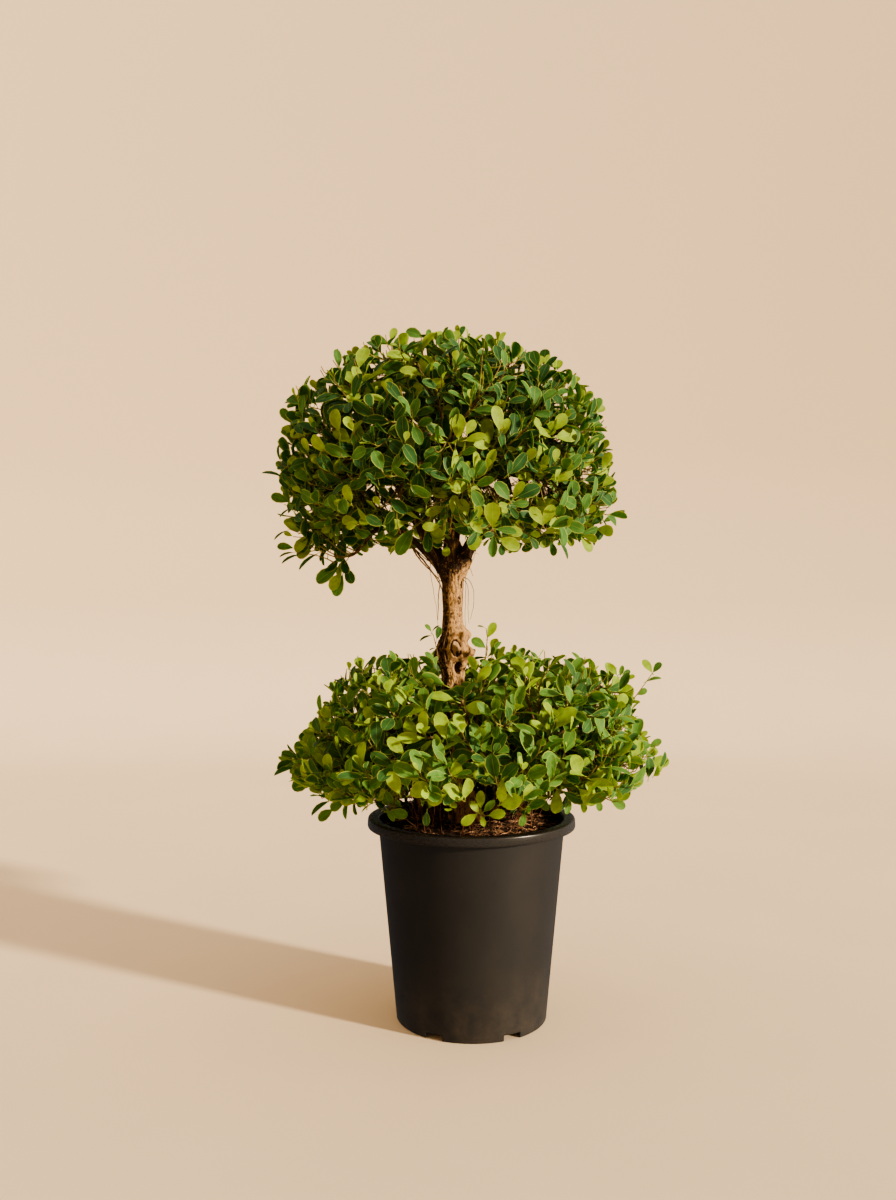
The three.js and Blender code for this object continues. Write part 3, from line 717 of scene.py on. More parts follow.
# Bare twigs, dark shoots under the mound and bare stems: how many, and the ranges that they are drawn from.
DEAD_TWIGS = SimpleNamespace(count=1500, foot=(0.45, 0.82), length=(0.04, 0.11), thick=(0.5, 1.1), reach=0.93)
SKIRTS = SimpleNamespace(count=90, azimuth=(-8, 188), flat=(0.07, 0.19), tip_z=(0.475, 0.55))
STEMS = SimpleNamespace(count=90, foot=(0.045, 0.15), out=(0.02, 0.11), top_z=(0.49, 0.59), thick=(0.5, 1.2))
# Dips in the crown's underside, round the fork, above the low spray and at the right: x, y, spread and depth.
CROWN_DIPS = ((-0.04, -0.1, 0.14, 0.035), (-0.33, -0.06, 0.09, 0.025), (0.24, -0.05, 0.1, 0.025))
# The mound's underside within the pot's mouth, over its lip, and at the front, where its edge is ragged. The
# mound's top is cut lower at the front, where the burl and its hollow show.
UNDER = SimpleNamespace(mouth=0.185, spare=0.006, beyond_lip=0.012, front=0.533, ragged=0.022, right=0.2)
BURL_WINDOW = SimpleNamespace(x=-0.041, half_wide=0.031, back=0.02, top=0.722, sides=0.69, clear=0.035)
# Leaves on a shoot: the bare share at its foot, the gaps from its tip on, the leaves' sizes, their lift from
# the shoot in degrees, the spread of their turns, their faces, and how near their middles may come.
LEAFING = SimpleNamespace(
    bare=0.12,
    first_gap=0.0015,
    gap=0.0024,
    gap_grows=0.0013,
    gap_spread=(0.8, 1.2),
    gap_scale=1.6,
    growth=0.2,
    sizes=(0.82, 1.16),
    lift=16,
    lift_grown=44,
    grown_after=5,
    lift_foot=14,
    lift_spread=9,
    turn_spread=0.3,
    rise=0.18,
    face_along=1.25,
    face_up=0.5,
    face_spread=0.62,
    young=2,
    young_fresh=0.7,
    kinds=(0, 0, 1, 1, 2),
    crowding=0.24,
)


class Growth:
    """Everything that the rule grows: boughs, older twigs, leafy shoots and leaves."""

    def __init__(self):
        self.boughs = []
        self.twigs = []
        self.shoots = []
        self.stems = []
        self.dead = []
        self.leaves = {}
        self.taken = {}

    def crowded(self, p, spacing):
        """Whether a leaf's middle lies closer to another's than the spacing, remembering it if not."""
        home = tuple(int(math.floor(c / LEAF_CELL)) for c in p)
        for i, j, k in NEIGHBOURS:
            others = self.taken.get((home[0] + i, home[1] + j, home[2] + k), ())
            if any((other - p).length < spacing for other in others):
                return True
        self.taken.setdefault(home, []).append(p)
        return False

    def leaf(self, group, at, aim, face, length, kind):
        side = aim.cross(face).normalized()
        up = side.cross(aim).normalized()
        turn = Matrix((side, aim, up)).transposed().to_quaternion()
        self.leaves.setdefault(group, []).append((at, turn, length, kind))


def grow_bough(growth, start, bend, entry, hub, size, stem):
    """A bough from the trunk to its mass, and the stem that it goes on as to the hub where twigs leave it."""
    growth.boughs.append((bezier([start, bend, entry], steps=22), size.foot, size.tip))
    along = (entry - bend).normalized()
    line = bezier([entry, entry + along * (hub - entry).length / 2, hub], steps=4)
    growth.twigs.append(limb(line, *stem))
    return line


def leafy_shoot(growth, tier, rng, settings, line, fits, hue):
    """Leaves up the outer part of a shoot: closer and younger towards its tip. Says how many fit."""
    rule = LEAFING
    length = sum((b - a).length for a, b in zip(line, line[1:]))
    spin = rng.uniform(0, math.tau)
    back = rule.first_gap
    kept = 0
    for n in range(settings.leaves):
        share = 1 - back / length
        if share < rule.bare:
            break
        at, along = along_line(line, share)
        age = n / (settings.leaves - 1)
        size = settings.leaf_length * min(1, settings.youngest + rule.growth * n) * rng.uniform(*rule.sizes)
        lift = rule.lift + rule.lift_grown * min(1, n / rule.grown_after) + rule.lift_foot * age
        lift = rad(lift + rng.uniform(-rule.lift_spread, rule.lift_spread))
        across = along.orthogonal().normalized()
        turn = spin + PHYLLOTAXY * n + rng.uniform(-rule.turn_spread, rule.turn_spread)
        across.rotate(Matrix.Rotation(turn, 3, along))
        aim = (along * math.cos(lift) + across * math.sin(lift) + UP * rule.rise).normalized()
        face = along * rule.face_along + UP * rule.face_up + jitter(rng, rule.face_spread)
        kind = YOUNG_KIND if n < rule.young else rng.choice(rule.kinds)
        tip = at + aim * size * (1 + PETIOLE)
        middle = at + aim * size * (0.5 + PETIOLE)
        back += (rule.gap + rule.gap_grows * n) * rng.uniform(*rule.gap_spread) * rule.gap_scale
        if not fits(tip) or not fits(middle) or growth.crowded(middle, size * rule.crowding):
            continue
        shade = "fresh" if n < rule.young and rng.random() < rule.young_fresh else hue
        growth.leaf((tier.name, shade), at, aim, face, size, kind)
        kept += 1
    return kept


def grow_shoot(growth, tier, rng, settings, parent, share, tip, end, fits, hue):
    """One shoot from a twig to its tip, with its leaves."""
    start, along = along_line(parent, share)
    reach = (tip - start).length
    if reach < SHORTEST_SHOOT:
        return
    foot_bend, tip_bend = SHOOT_BEND
    line = bezier([start, start + along * reach * foot_bend, tip - end * reach * tip_bend, tip], steps=7)
    if not line_off_trunk(line[2:], SHOOT_SPARE):
        return
    if leafy_shoot(growth, tier, rng, settings, line, fits, hue) and fits(tip):
        growth.shoots.append(limb(line, *SHOOT))


def pick_hue(rng, shares):
    at = rng.random()
    for hue, share in zip(BLADE_HUES, shares):
        if at < share:
            return hue
        at -= share
    return BLADE_HUES[-1]


def grow_tier(growth, tier, settings, plan):
    """One tier: a bough to each mass, its stem and twigs, and shoots to evenly spread tips."""
    rng = random.Random(settings.seed)
    axes = tier_axes(tier)
    twigs = {k: [] for k in range(len(axes))}
    twig_balls = spread_balls(plan.twigs, plan.twig_lowest, plan.highest)
    for k, axis in enumerate(axes):
        size = plan.size(k)
        entry = point_at(tier, axis, tier.inner)
        hub = point_at(tier, axis, HUB_REACH)
        start = trunk_centre(size.z + size.stagger * (k % 3))
        shape = Vector((size.out, size.out, size.rise))
        bend = start + Vector(a * b for a, b in zip(entry - start, shape))
        grow_bough(growth, start, bend, entry, hub, size, (size.tip, size.tip * 0.75))
        for ball in [b for b in twig_balls if nearest(b, axes) == k]:
            tip = point_at(tier, ball, TWIG_REACH)
            sag = (tip - hub).length * 0.12
            line = bezier([hub, hub.lerp(tip, 0.5) + UP * sag + jitter(rng, 0.01), tip], steps=8)
            growth.twigs.append(limb(line, *TWIG))
            twigs[k].append(line)

    def fits(p):
        inside = reach_of(tier, p) < plan.reach and plan.floor(p) < p.z < plan.ceiling(p)
        return inside and off_trunk(p, SHOOT_SPARE) and rng.random() < plan.kept(p)

    proud = {id(line): rng.uniform(-1, 1) for k in twigs for line in twigs[k]}
    outer = [(ball, False) for ball in spread_balls(settings.shoots, plan.lowest, 1)]
    inner = [(ball, True) for ball in spread_balls(settings.fill, plan.lowest, 1)]
    for ball, within in outer + inner:
        ball = (ball + jitter(rng, 0.05)).normalized()
        rim = point_at(tier, ball, 1)
        k = nearest(ball, axes)
        parent = min(twigs[k], key=lambda line: (line[-1] - rim).length)
        depth = rng.uniform(*DEPTH_WITHIN) if within else rng.uniform(*DEPTH) + plan.lumpy * proud[id(parent)]
        tip = rim - (rim - tier.centre).normalized() * depth
        tip = tip.lerp(parent[-1] + (tip - parent[-1]).project(outward(tier, rim)), CLUMPING)
        end = (outward(tier, rim) + UP * plan.upward + jitter(rng, 0.35)).normalized()
        shares = plan.hues_within if within else plan.hues
        share = rng.uniform(0.35, 0.8)
        grow_shoot(growth, tier, rng, settings, parent, share, tip, end, fits, pick_hue(rng, shares))


def grow_low_spray(growth, settings):
    """The spray that hangs out on the left below the crown."""
    rng = random.Random(settings.seed + 5)
    spray = LOW_SPRAY
    start = trunk_centre(LOW_BOUGH.z)
    stem = grow_bough(growth, start, spray.bend, spray.entry, spray.hub, LOW_BOUGH, SPRAY_STEM)

    def fits(p):
        v = p - spray.centre
        apart = Vector((v.x / spray.half.x, v.y / spray.half.y, v.z / spray.half.z)).length
        return apart < 1.02 and p.z < spray.ceiling

    for ball in spread_balls(9, lowest=-1, highest=0.9):
        tip = spray.centre + ball * spray.half * 0.66
        end = ((tip - spray.hub).normalized() - UP * 0.35 + jitter(rng, 0.3)).normalized()
        share = rng.uniform(0.3, 1)
        grow_shoot(growth, CROWN, rng, settings, stem, share, tip, end, fits, pick_hue(rng, spray.hues))


def grow_strays(growth, settings):
    """The single shoots that stand clear of the tiers."""
    rng = random.Random(settings.seed + 9)
    for knees, leaves, length, hue in STRAY_SHOOTS:
        line = bezier([Vector(knee) for knee in knees], steps=9)
        growth.shoots.append(limb(line, *STRAY))
        sizes = SimpleNamespace(leaves=leaves, leaf_length=length, youngest=0.8)
        tier = CROWN if knees[0][2] > LOWEST_CROWN_LIMB else MOUND
        leafy_shoot(growth, tier, rng, sizes, line, lambda p: off_trunk(p, STRAY_SPARE), hue)


def grow_sprays(growth, settings):
    """The sprays that stand out, leaf by leaf, each on a stalk from the nearest point of its twig."""
    rng = random.Random(settings.seed + 31)
    for tier, tip_y, knees, leaves in [(tier, *spray) for tier in SPRAYS for spray in SPRAYS[tier]]:
        line = bezier([Vector(knee) * MM for knee in knees], steps=9)
        growth.shoots.append(limb(line, *STRAY))
        for base_x, base_z, tip_x, tip_z, kind, hue in leaves:
            base = Vector((base_x, knees[-1][1], base_z)) * MM
            tip = Vector((tip_x, tip_y, tip_z)) * MM
            aim = (tip - base).normalized()
            size = (tip - base).length * 0.97
            face = Vector((0, -1, 0.35)) + jitter(rng, 0.3)
            if kind == EDGEWISE:
                level = 1 if aim.x > 0 else -1
                face = Vector((-aim.z * level, -0.3, aim.x * level))
                kind = EDGEWISE_SHAPE
            at = tip - aim * size * (1 + PETIOLE)
            growth.leaf((tier, hue), at, aim, face, size, kind)
            root = min(line, key=lambda p: (p - at).length)
            if (root - at).length > SHORTEST_STALK:
                stalk = bezier([root, root.lerp(at, 0.6) - UP * 0.002, at], steps=5)
                growth.shoots.append(limb(stalk, *STALK))
            for ahead in KEPT_FREE:
                growth.crowded(base.lerp(tip, 0.5) - Vector((0, ahead, 0)), 0)


def grow_dead_twigs(growth, settings):
    """Fine bare twigs in the shade inside the crown's lower half."""
    rng = random.Random(settings.seed + 17)
    plan = DEAD_TWIGS
    for ball in spread_balls(plan.count, lowest=-0.75, highest=0.45):
        start = point_at(CROWN, ball, rng.uniform(*plan.foot))
        heading = ((start - CROWN.centre).normalized() + jitter(rng, 0.8) + UP * 0.2).normalized()
        length = rng.uniform(*plan.length)
        middle = start + heading * length * 0.5 + jitter(rng, 0.014)
        line = bezier([start, middle, start + heading * length], steps=6)
        inside = all(reach_of(CROWN, p) < plan.reach and p.z > crown_floor(p) - 0.004 for p in line)
        if inside and line_off_trunk(line, STRAY_SPARE):
            thick = rng.uniform(*plan.thick) * MM
            growth.dead.append(limb(line, thick, thick * 0.5))


def grow_skirts(growth, settings):
    """Shoots with deep leaves low at the mound's back and middle, which close the view under its front; their
    deep colour is painted shade under the mound.
    """
    rng = random.Random(settings.seed + 21)
    sizes = SimpleNamespace(leaves=9, leaf_length=0.042, youngest=0.5)

    def fits(p):
        return off_trunk(p, STRAY_SPARE) and p.z > mound_floor(p)

    for n in range(SKIRTS.count):
        azimuth = rad(rng.uniform(*SKIRTS.azimuth))
        flat = rng.uniform(*SKIRTS.flat)
        tip = polar(flat, azimuth, rng.uniform(*SKIRTS.tip_z))
        start = Vector((tip.x * 0.6, tip.y * 0.6, SOIL_BOX[1].z))
        line = bezier([start, start.lerp(tip, 0.5) + jitter(rng, 0.02), tip], steps=7)
        if line_off_trunk(line, STRAY_SPARE):
            growth.stems.append(limb(line, *SKIRT_STEM))
            leafy_shoot(growth, MOUND, rng, sizes, line, fits, "deep")


def grow_stems(growth, settings):
    """Thin bare stems that fan out of the soil below the mound."""
    rng = random.Random(settings.seed + 13)
    for n in range(STEMS.count):
        azimuth = n * GOLDEN_ANGLE
        foot = rng.uniform(*STEMS.foot)
        out = foot + rng.uniform(*STEMS.out)
        turn = azimuth + rng.uniform(-0.5, 0.5)
        foot_x = TRUNK.foot_x * 0.5 + foot * math.cos(azimuth)
        start = Vector((foot_x, foot * math.sin(azimuth), SOIL_BOX[1].z - 0.012))
        end = polar(out, turn, rng.uniform(*STEMS.top_z))
        middle = start.lerp(end, 0.5) + jitter(rng, 0.02) + UP * 0.01
        line = bezier([start, middle, end], steps=8)
        if line_off_trunk(line, STEM_SPARE):
            thick = rng.uniform(*STEMS.thick) * MM
            growth.stems.append(limb(line, thick, thick * 0.6))


def crown_floor(p):
    """The crown's underside, with its dips and a slight wave."""
    low = CROWN.lowest
    for x, y, spread, depth in CROWN_DIPS:
        low -= depth * bump(math.hypot(p.x - x, p.y - y), spread)
    return low + 0.018 * math.sin(p.x * 31) * math.cos(p.y * 27)


def mound_floor(p):
    """The mound's underside: in the pot's mouth, over the lip, and higher at the front where stems show."""
    flat = math.hypot(p.x, p.y)
    low = MOUND.lowest - 0.01
    if flat < UNDER.mouth:
        low = SOIL_BOX[1].z + UNDER.spare
    elif flat < POT_BOX[1].x + UNDER.beyond_lip:
        low = POT_BOX[1].z + UNDER.spare
    front = clamped((-p.y / max(flat, 0.01) - 0.6) / 0.2)
    ragged = UNDER.front + UNDER.ragged * math.sin(p.x * 38 + 1)
    right = 0.482 + (p.x - 0.219) * 0.453
    return max(low + (ragged - low) * front * min(flat / 0.15, 1), right if p.x > UNDER.right else 0)


def mound_ceiling(p):
    """The mound's top, which leaves the trunk's burl bare, at the front down to its hollow."""
    window = BURL_WINDOW
    if p.y < window.back and abs(p.x - window.x) < window.half_wide:
        return window.top
    flat = (p.xy - trunk_centre(p.z).xy).length
    return window.sides + max(0, flat - window.clear) * 1.2


def grow_plant(context):
    """The whole plant, from the settings of the scene."""
    growth = Growth()
    crown = SimpleNamespace(
        size=lambda k: LEADER if k == 0 else CROWN_BOUGH,
        twigs=79,
        twig_lowest=-0.9,
        lowest=-0.9,
        highest=1,
        reach=0.99,
        floor=crown_floor,
        ceiling=lambda p: 2,
        kept=in_gap,
        lumpy=0.012,
        upward=0.8,
        hues=(0.44, 0.38, 0.18),
        # Shoots within take mostly deep leaves: partly older leaves, partly painted shade inside the tier.
        hues_within=(0.75, 0.2, 0.05),
    )
    mound = SimpleNamespace(
        size=lambda k: MOUND_BOUGH,
        twigs=93,
        twig_lowest=-0.62,
        lowest=-0.85,
        highest=0.96,
        reach=1.03,
        floor=mound_floor,
        ceiling=mound_ceiling,
        kept=lambda p: 1,
        lumpy=0.016,
        upward=0.9,
        hues=(0.24, 0.46, 0.3),
        # Shoots within take mostly deep leaves: partly older leaves, partly painted shade inside the tier.
        hues_within=(0.6, 0.3, 0.1),
    )
    crown_settings = context.scene.topiary_crown
    mound_settings = context.scene.topiary_mound
    grow_sprays(growth, mound_settings)
    grow_strays(growth, mound_settings)
    grow_tier(growth, CROWN, crown_settings, crown)
    grow_low_spray(growth, crown_settings)
    grow_dead_twigs(growth, crown_settings)
    grow_tier(growth, MOUND, mound_settings, mound)
    grow_skirts(growth, mound_settings)
    grow_stems(growth, mound_settings)
    return growth


# Nodes of both kinds
def node_group(name, kind, inputs, outputs):
    """A node group with named inputs and outputs, its start's outputs and its end's inputs."""
    group = bpy.data.node_groups.new(name, kind)
    for label, socket_kind, default in inputs:
        socket = group.interface.new_socket(label, in_out="INPUT", socket_type="NodeSocket" + socket_kind)
        if default is not None:
            socket.default_value = default
    for label, socket_kind in outputs:
        group.interface.new_socket(label, in_out="OUTPUT", socket_type="NodeSocket" + socket_kind)
    return group, group.nodes.new("NodeGroupInput").outputs, group.nodes.new("NodeGroupOutput").inputs


def feed(tree, socket, content):
    """Links an input to another node's output, or sets it to a value."""
    if isinstance(content, bpy.types.NodeSocket):
        tree.links.new(content, socket)
    else:
        socket.default_value = content


def feed_all(tree, node, **inputs):
    """Feeds a node's inputs by their names, with _ for each space."""
    for label, content in inputs.items():
        feed(tree, node.inputs[label.replace("_", " ")], content)


def add_node(tree, kind, settings=None, **inputs):
    """A node with its settings made and its inputs fed."""
    node = tree.nodes.new(kind)
    for key, value in (settings or {}).items():
        setattr(node, key, value)
    feed_all(tree, node, **inputs)
    return node


def math_node(tree, operation, a, b):
    made = add_node(tree, "ShaderNodeMath", {"operation": operation})
    feed(tree, made.inputs[0], a)
    feed(tree, made.inputs[1], b)
    return made.outputs[0]


# Geometry Nodes
def geometry_group(name, inputs):
    return node_group(
        name, "GeometryNodeTree", [("Geometry", "Geometry", None), *inputs], [("Geometry", "Geometry")]
    )


def point_value(tree, kind, name):
    """What an attribute of the source's points says."""
    node = add_node(tree, "GeometryNodeInputNamedAttribute", {"data_type": kind}, Name=name)
    return node.outputs["Attribute"]


def finish_tree(tree, end, geometry, material):
    """Realizes what the tree makes, gives it its material and ends the tree."""
    realized = add_node(tree, "GeometryNodeRealizeInstances", Geometry=geometry)
    dressed = add_node(tree, "GeometryNodeSetMaterial", Geometry=realized.outputs[0], Material=material)
    tree.links.new(dressed.outputs[0], end[0])


def tube_tree():
    """Round limbs along a mesh's edges, as thick as its girth attribute says: built once."""
    name = "Tubes along lines"
    if name in bpy.data.node_groups:
        return bpy.data.node_groups[name]
    tree, start, end = geometry_group(
        name, [("Sides", "Int", 6), ("Girth", "Float", 1.0), ("Material", "Material", None)]
    )
    lines = add_node(tree, "GeometryNodeMeshToCurve", Mesh=start["Geometry"])
    ring = add_node(tree, "GeometryNodeCurvePrimitiveCircle", Resolution=start["Sides"], Radius=1.0)
    skin = add_node(
        tree,
        "GeometryNodeCurveToMesh",
        Curve=lines.outputs[0],
        Profile_Curve=ring.outputs[0],
        Scale=math_node(tree, "MULTIPLY", point_value(tree, "FLOAT", "girth"), start["Girth"]),
        Fill_Caps=True,
    )
    smooth = add_node(tree, "GeometryNodeSetShadeSmooth", Geometry=skin.outputs[0], Shade_Smooth=True)
    finish_tree(tree, end, smooth.outputs[0], start["Material"])
    return tree


def leaf_tree(count):
    """A leaf on each point, of the kind, turn and size that the point's attributes say."""
    labels = [f"Leaf {n + 1}" for n in range(count)]
    inputs = [("Size", "Float", 1.0), ("Material", "Material", None)]
    inputs += [(label, "Object", None) for label in labels]
    tree, start, end = geometry_group("Leaves on points", inputs)
    join = tree.nodes.new("GeometryNodeJoinGeometry")
    for label in labels:
        info = add_node(tree, "GeometryNodeObjectInfo", Object=start[label], As_Instance=True)
        tree.links.new(info.outputs["Geometry"], join.inputs[0])
    placed = add_node(
        tree,
        "GeometryNodeInstanceOnPoints",
        Points=start["Geometry"],
        Instance=join.outputs[0],
        Pick_Instance=True,
        Instance_Index=point_value(tree, "INT", "kind"),
        Rotation=point_value(tree, "QUATERNION", "turn"),
        Scale=math_node(tree, "MULTIPLY", point_value(tree, "FLOAT", "size"), start["Size"]),
    )
    finish_tree(tree, end, placed.outputs[0], start["Material"])
    return tree


# Objects and meshes
def in_scene(name, content):
    """A new object in the scene."""
    made = bpy.data.objects.new(name, content)
    bpy.context.scene.collection.objects.link(made)
    return made


def add_piece(name, mesh, replaced=()):
    """A finished piece of the plant or pot, which rides on the part's one body."""
    made = in_scene(name, mesh)
    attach(made, "root")
    if replaced:
        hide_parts(*replaced)


def plain_mesh(source, name):
    """The mesh that an object's modifiers make. The object is then removed."""
    bpy.context.view_layer.update()
    mesh = bpy.data.meshes.new_from_object(source.evaluated_get(bpy.context.evaluated_depsgraph_get()))
    mesh.name = name
    source.modifiers.clear()
    bpy.data.objects.remove(source)
    return mesh


def baked(source, tree, values, name):
    """The plain mesh that a tree makes of a source object."""
    modifier = source.modifiers.new("Tree", "NODES")
    modifier.node_group = tree
    for item in tree.interface.items_tree:
        if item.name in values:
            modifier[item.identifier] = values[item.name]
    return plain_mesh(source, name)


def set_points(mesh, name, kind, values):
    """Gives each point of a mesh a value."""
    mesh.attributes.new(name, kind, "POINT").data.foreach_set("value", values)


def mesh_from(name, points, faces):
    mesh = bpy.data.meshes.new(name)
    mesh.from_pydata([tuple(p) for p in points], [], faces)
    mesh.shade_smooth()
    mesh.update()
    return mesh


def add_tubes(name, limbs, sides, made):
    """A piece of round limbs, each a line with its radii."""
    points = []
    edges = []
    radii = []
    for line, line_radii in limbs:
        first = len(points)
        points += [tuple(p) for p in line]
        radii += line_radii
        edges += [(first + i, first + i + 1) for i in range(len(line) - 1)]
    mesh = bpy.data.meshes.new(name + "_lines")
    mesh.from_pydata(points, edges, [])
    set_points(mesh, "girth", "FLOAT", radii)
    values = {"Sides": sides, "Girth": 1.0, "Material": made}
    add_piece(name, baked(in_scene(name + "_lines", mesh), tube_tree(), values, name))


def round_pairs(count):
    """Each number of a ring with the one after it."""
    return [(j, (j + 1) % count) for j in range(count)]


def outline_width(share, widest):
    """A blade's half width as a share of its widest: tapered to the stalk and round at the tip."""
    if share < widest:
        return math.sin(math.pi / 2 * share / widest) ** 1.1
    return math.sqrt(1 - ((share - widest) / (1 - widest)) ** 2)


def blade_line(share, bend):
    """Where the middle of a blade runs: straight out, then curved back."""
    return Vector((0, PETIOLE + share, 0.06 * share - bend * share * share))


def leaf_blade(name, width, widest, fold, bend):
    """A closed blade one unit long after its stalk, folded a little along its middle."""
    half_thick = UP * 0.011 / 2
    points = [blade_line(0, bend), blade_line(1, bend)]
    for share in LEAF_STATIONS:
        middle = blade_line(share, bend)
        half = width / 2 * outline_width(share, widest)
        edge = Vector((half * math.cos(fold), 0, half * math.sin(fold)))
        mirrored = Vector((-edge.x, 0, edge.z))
        points += [middle + mirrored, middle + half_thick, middle + edge, middle - half_thick]
    left, top, right, under = range(4)
    rows = [[2 + 4 * n + i for i in range(4)] for n in range(len(LEAF_STATIONS))]
    first, last = rows[0], rows[-1]
    faces = [(0, first[right], first[top]), (0, first[top], first[left])]
    faces += [(0, first[under], first[right]), (0, first[left], first[under])]
    for a, b in zip(rows, rows[1:]):
        faces += [(a[top], a[right], b[right], b[top]), (a[left], a[top], b[top], b[left])]
        faces += [(a[under], b[under], b[right], a[right]), (a[left], b[left], b[under], a[under])]
    faces += [(last[top], last[right], 1), (last[left], last[top], 1)]
    faces += [(last[under], 1, last[right]), (last[under], last[left], 1)]
    mesh = mesh_from(name, points, faces)
    rim = {0, 1} | {row[i] for row in rows for i in (left, right)}
    below = {row[under] for row in rows}
    for edge in mesh.edges:
        edge.use_edge_sharp = set(edge.vertices) <= rim
    shown = [1.0 if i in rim else 0.5 if i in below else 0.0 for i in range(len(points))]
    set_points(mesh, "rim", "FLOAT", shown)
    return mesh


def leaf_stalk(name, bend):
    """A leaf's stalk, which runs on a little under the blade: a slim three-sided rod, open nowhere."""
    points = []
    for share, half, high in STALK_STATIONS:
        middle = blade_line(max(share, 0), bend) + Vector((0, min(share, 0), 0)) - UP * 0.006
        points += [middle + Vector((-half, 0, 0)), middle + Vector((half, 0, 0)), middle + UP * high]
    faces = [(0, 1, 2), (0, 3, 4, 1), (1, 4, 5, 2), (2, 5, 3, 0), (3, 5, 4)]
    return mesh_from(name, points, faces)


def turned(name, profile, segments):
    """A closed turned body from a profile that starts and ends on the axis."""
    made = bmesh.new()
    rings = []
    for radius, z in profile:
        count = segments if radius > 0 else 1
        rings.append([made.verts.new(polar(radius, math.tau * i / segments, z)) for i in range(count)])
    for a, b in zip(rings, rings[1:]):
        for i, j in round_pairs(segments):
            corners = [a[i % len(a)], a[j % len(a)], b[j % len(b)], b[i % len(b)]]
            unique = list(dict.fromkeys(corners))
            if len(unique) > 2:
                made.faces.new(unique)
    bmesh.ops.recalc_face_normals(made, faces=made.faces)
    mesh = bpy.data.meshes.new(name)
    made.to_mesh(mesh)
    made.free()
    mesh.shade_smooth()
    return mesh


def arc(centre, radius, start, stop, steps):
    """Profile points on a circle, angles in degrees."""
    points = []
    for i in range(steps + 1):
        angle = rad(start + (stop - start) * i / steps)
        points.append((centre[0] + radius * math.cos(angle), centre[1] + radius * math.sin(angle)))
    return points


# Materials
def paint(colour, factor=1):
    """A colour as a socket holds it, made lighter or darker by a factor."""
    return (*(min(1, c * factor) for c in colour), 1)


def own_place(tree):
    return tree.nodes.new("ShaderNodeTexCoord").outputs["Object"]


def own_height(tree):
    return add_node(tree, "ShaderNodeSeparateXYZ", Vector=own_place(tree)).outputs["Z"]


def mesh_value(tree, name):
    """What an attribute of the mesh says."""
    return add_node(tree, "ShaderNodeAttribute", {"attribute_name": name}).outputs["Fac"]


def noise_node(tree, scale, detail, rough=0.55, stretch=None):
    """Noise on the piece's own coordinates, stretched where a vector is given."""
    place = own_place(tree)
    if stretch:
        place = add_node(tree, "ShaderNodeMapping", Vector=place, Scale=stretch).outputs[0]
    return add_node(
        tree, "ShaderNodeTexNoise", Vector=place, Scale=scale, Detail=detail, Roughness=rough
    ).outputs["Fac"]


def ranged(tree, value, low, high, to_low=0.0, to_high=1.0):
    """A value mapped from one range to another, held at its ends."""
    return add_node(
        tree, "ShaderNodeMapRange", Value=value, From_Min=low, From_Max=high, To_Min=to_low, To_Max=to_high
    ).outputs[0]


def blended(tree, share, a, b):
    """Two colours mixed by a share."""
    made = add_node(tree, "ShaderNodeMix", {"data_type": "RGBA"})
    for index, content in ((0, share), (6, a), (7, b)):
        feed(tree, made.inputs[index], content)
    return made.outputs[2]


def mottle_group():
    """Patches of a second colour, uneven gloss and a fine height, for anything that grows: built once."""
    if "Mottle" in bpy.data.node_groups:
        return bpy.data.node_groups["Mottle"]
    group, start, end = node_group(
        "Mottle",
        "ShaderNodeTree",
        [
            ("Colour", "Color", (0.1, 0.2, 0.03, 1)),
            ("Second Colour", "Color", (0.05, 0.1, 0.02, 1)),
            ("Patch Scale", "Float", 60.0),
            ("Grain Scale", "Float", 600.0),
            ("Gloss", "Float", 0.35),
        ],
        [("Colour", "Color"), ("Roughness", "Float"), ("Height", "Float")],
    )
    patches = ranged(group, noise_node(group, start["Patch Scale"], detail=2.0), 0.38, 0.64)
    grain = noise_node(group, start["Grain Scale"], detail=3.0)
    uneven = ranged(group, grain, 0.3, 0.7, -0.05, 0.09)
    feed(group, end["Colour"], blended(group, patches, start["Colour"], start["Second Colour"]))
    feed(group, end["Roughness"], math_node(group, "ADD", start["Gloss"], uneven))
    feed(group, end["Height"], grain)
    return group


def material(name, roughness, specular):
    """A new material, with its tree and its Principled shader."""
    made = bpy.data.materials.new(name)
    made.use_nodes = True
    tree = made.node_tree
    shader = tree.nodes["Principled BSDF"]
    feed_all(tree, shader, Roughness=roughness, Specular_IOR_Level=specular)
    return made, tree, shader


def bump_node(tree, height, strength, distance):
    return add_node(tree, "ShaderNodeBump", Strength=strength, Distance=distance, Height=height).outputs[0]


def mottled_material(name, colour, second, patch, grain, gloss, strength, specular=0.5):
    """A material whose colour, gloss and relief come from the mottle group."""
    made, tree, shader = material(name, gloss, specular)
    node = add_node(
        tree,
        "ShaderNodeGroup",
        {"node_tree": mottle_group()},
        Colour=colour,
        Second_Colour=second,
        Patch_Scale=patch,
        Grain_Scale=grain,
        Gloss=gloss,
    )
    relief = bump_node(tree, node.outputs["Height"], strength, distance=0.0006)
    rough = node.outputs["Roughness"]
    feed_all(tree, shader, Base_Color=node.outputs["Colour"], Roughness=rough, Normal=relief)
    return made


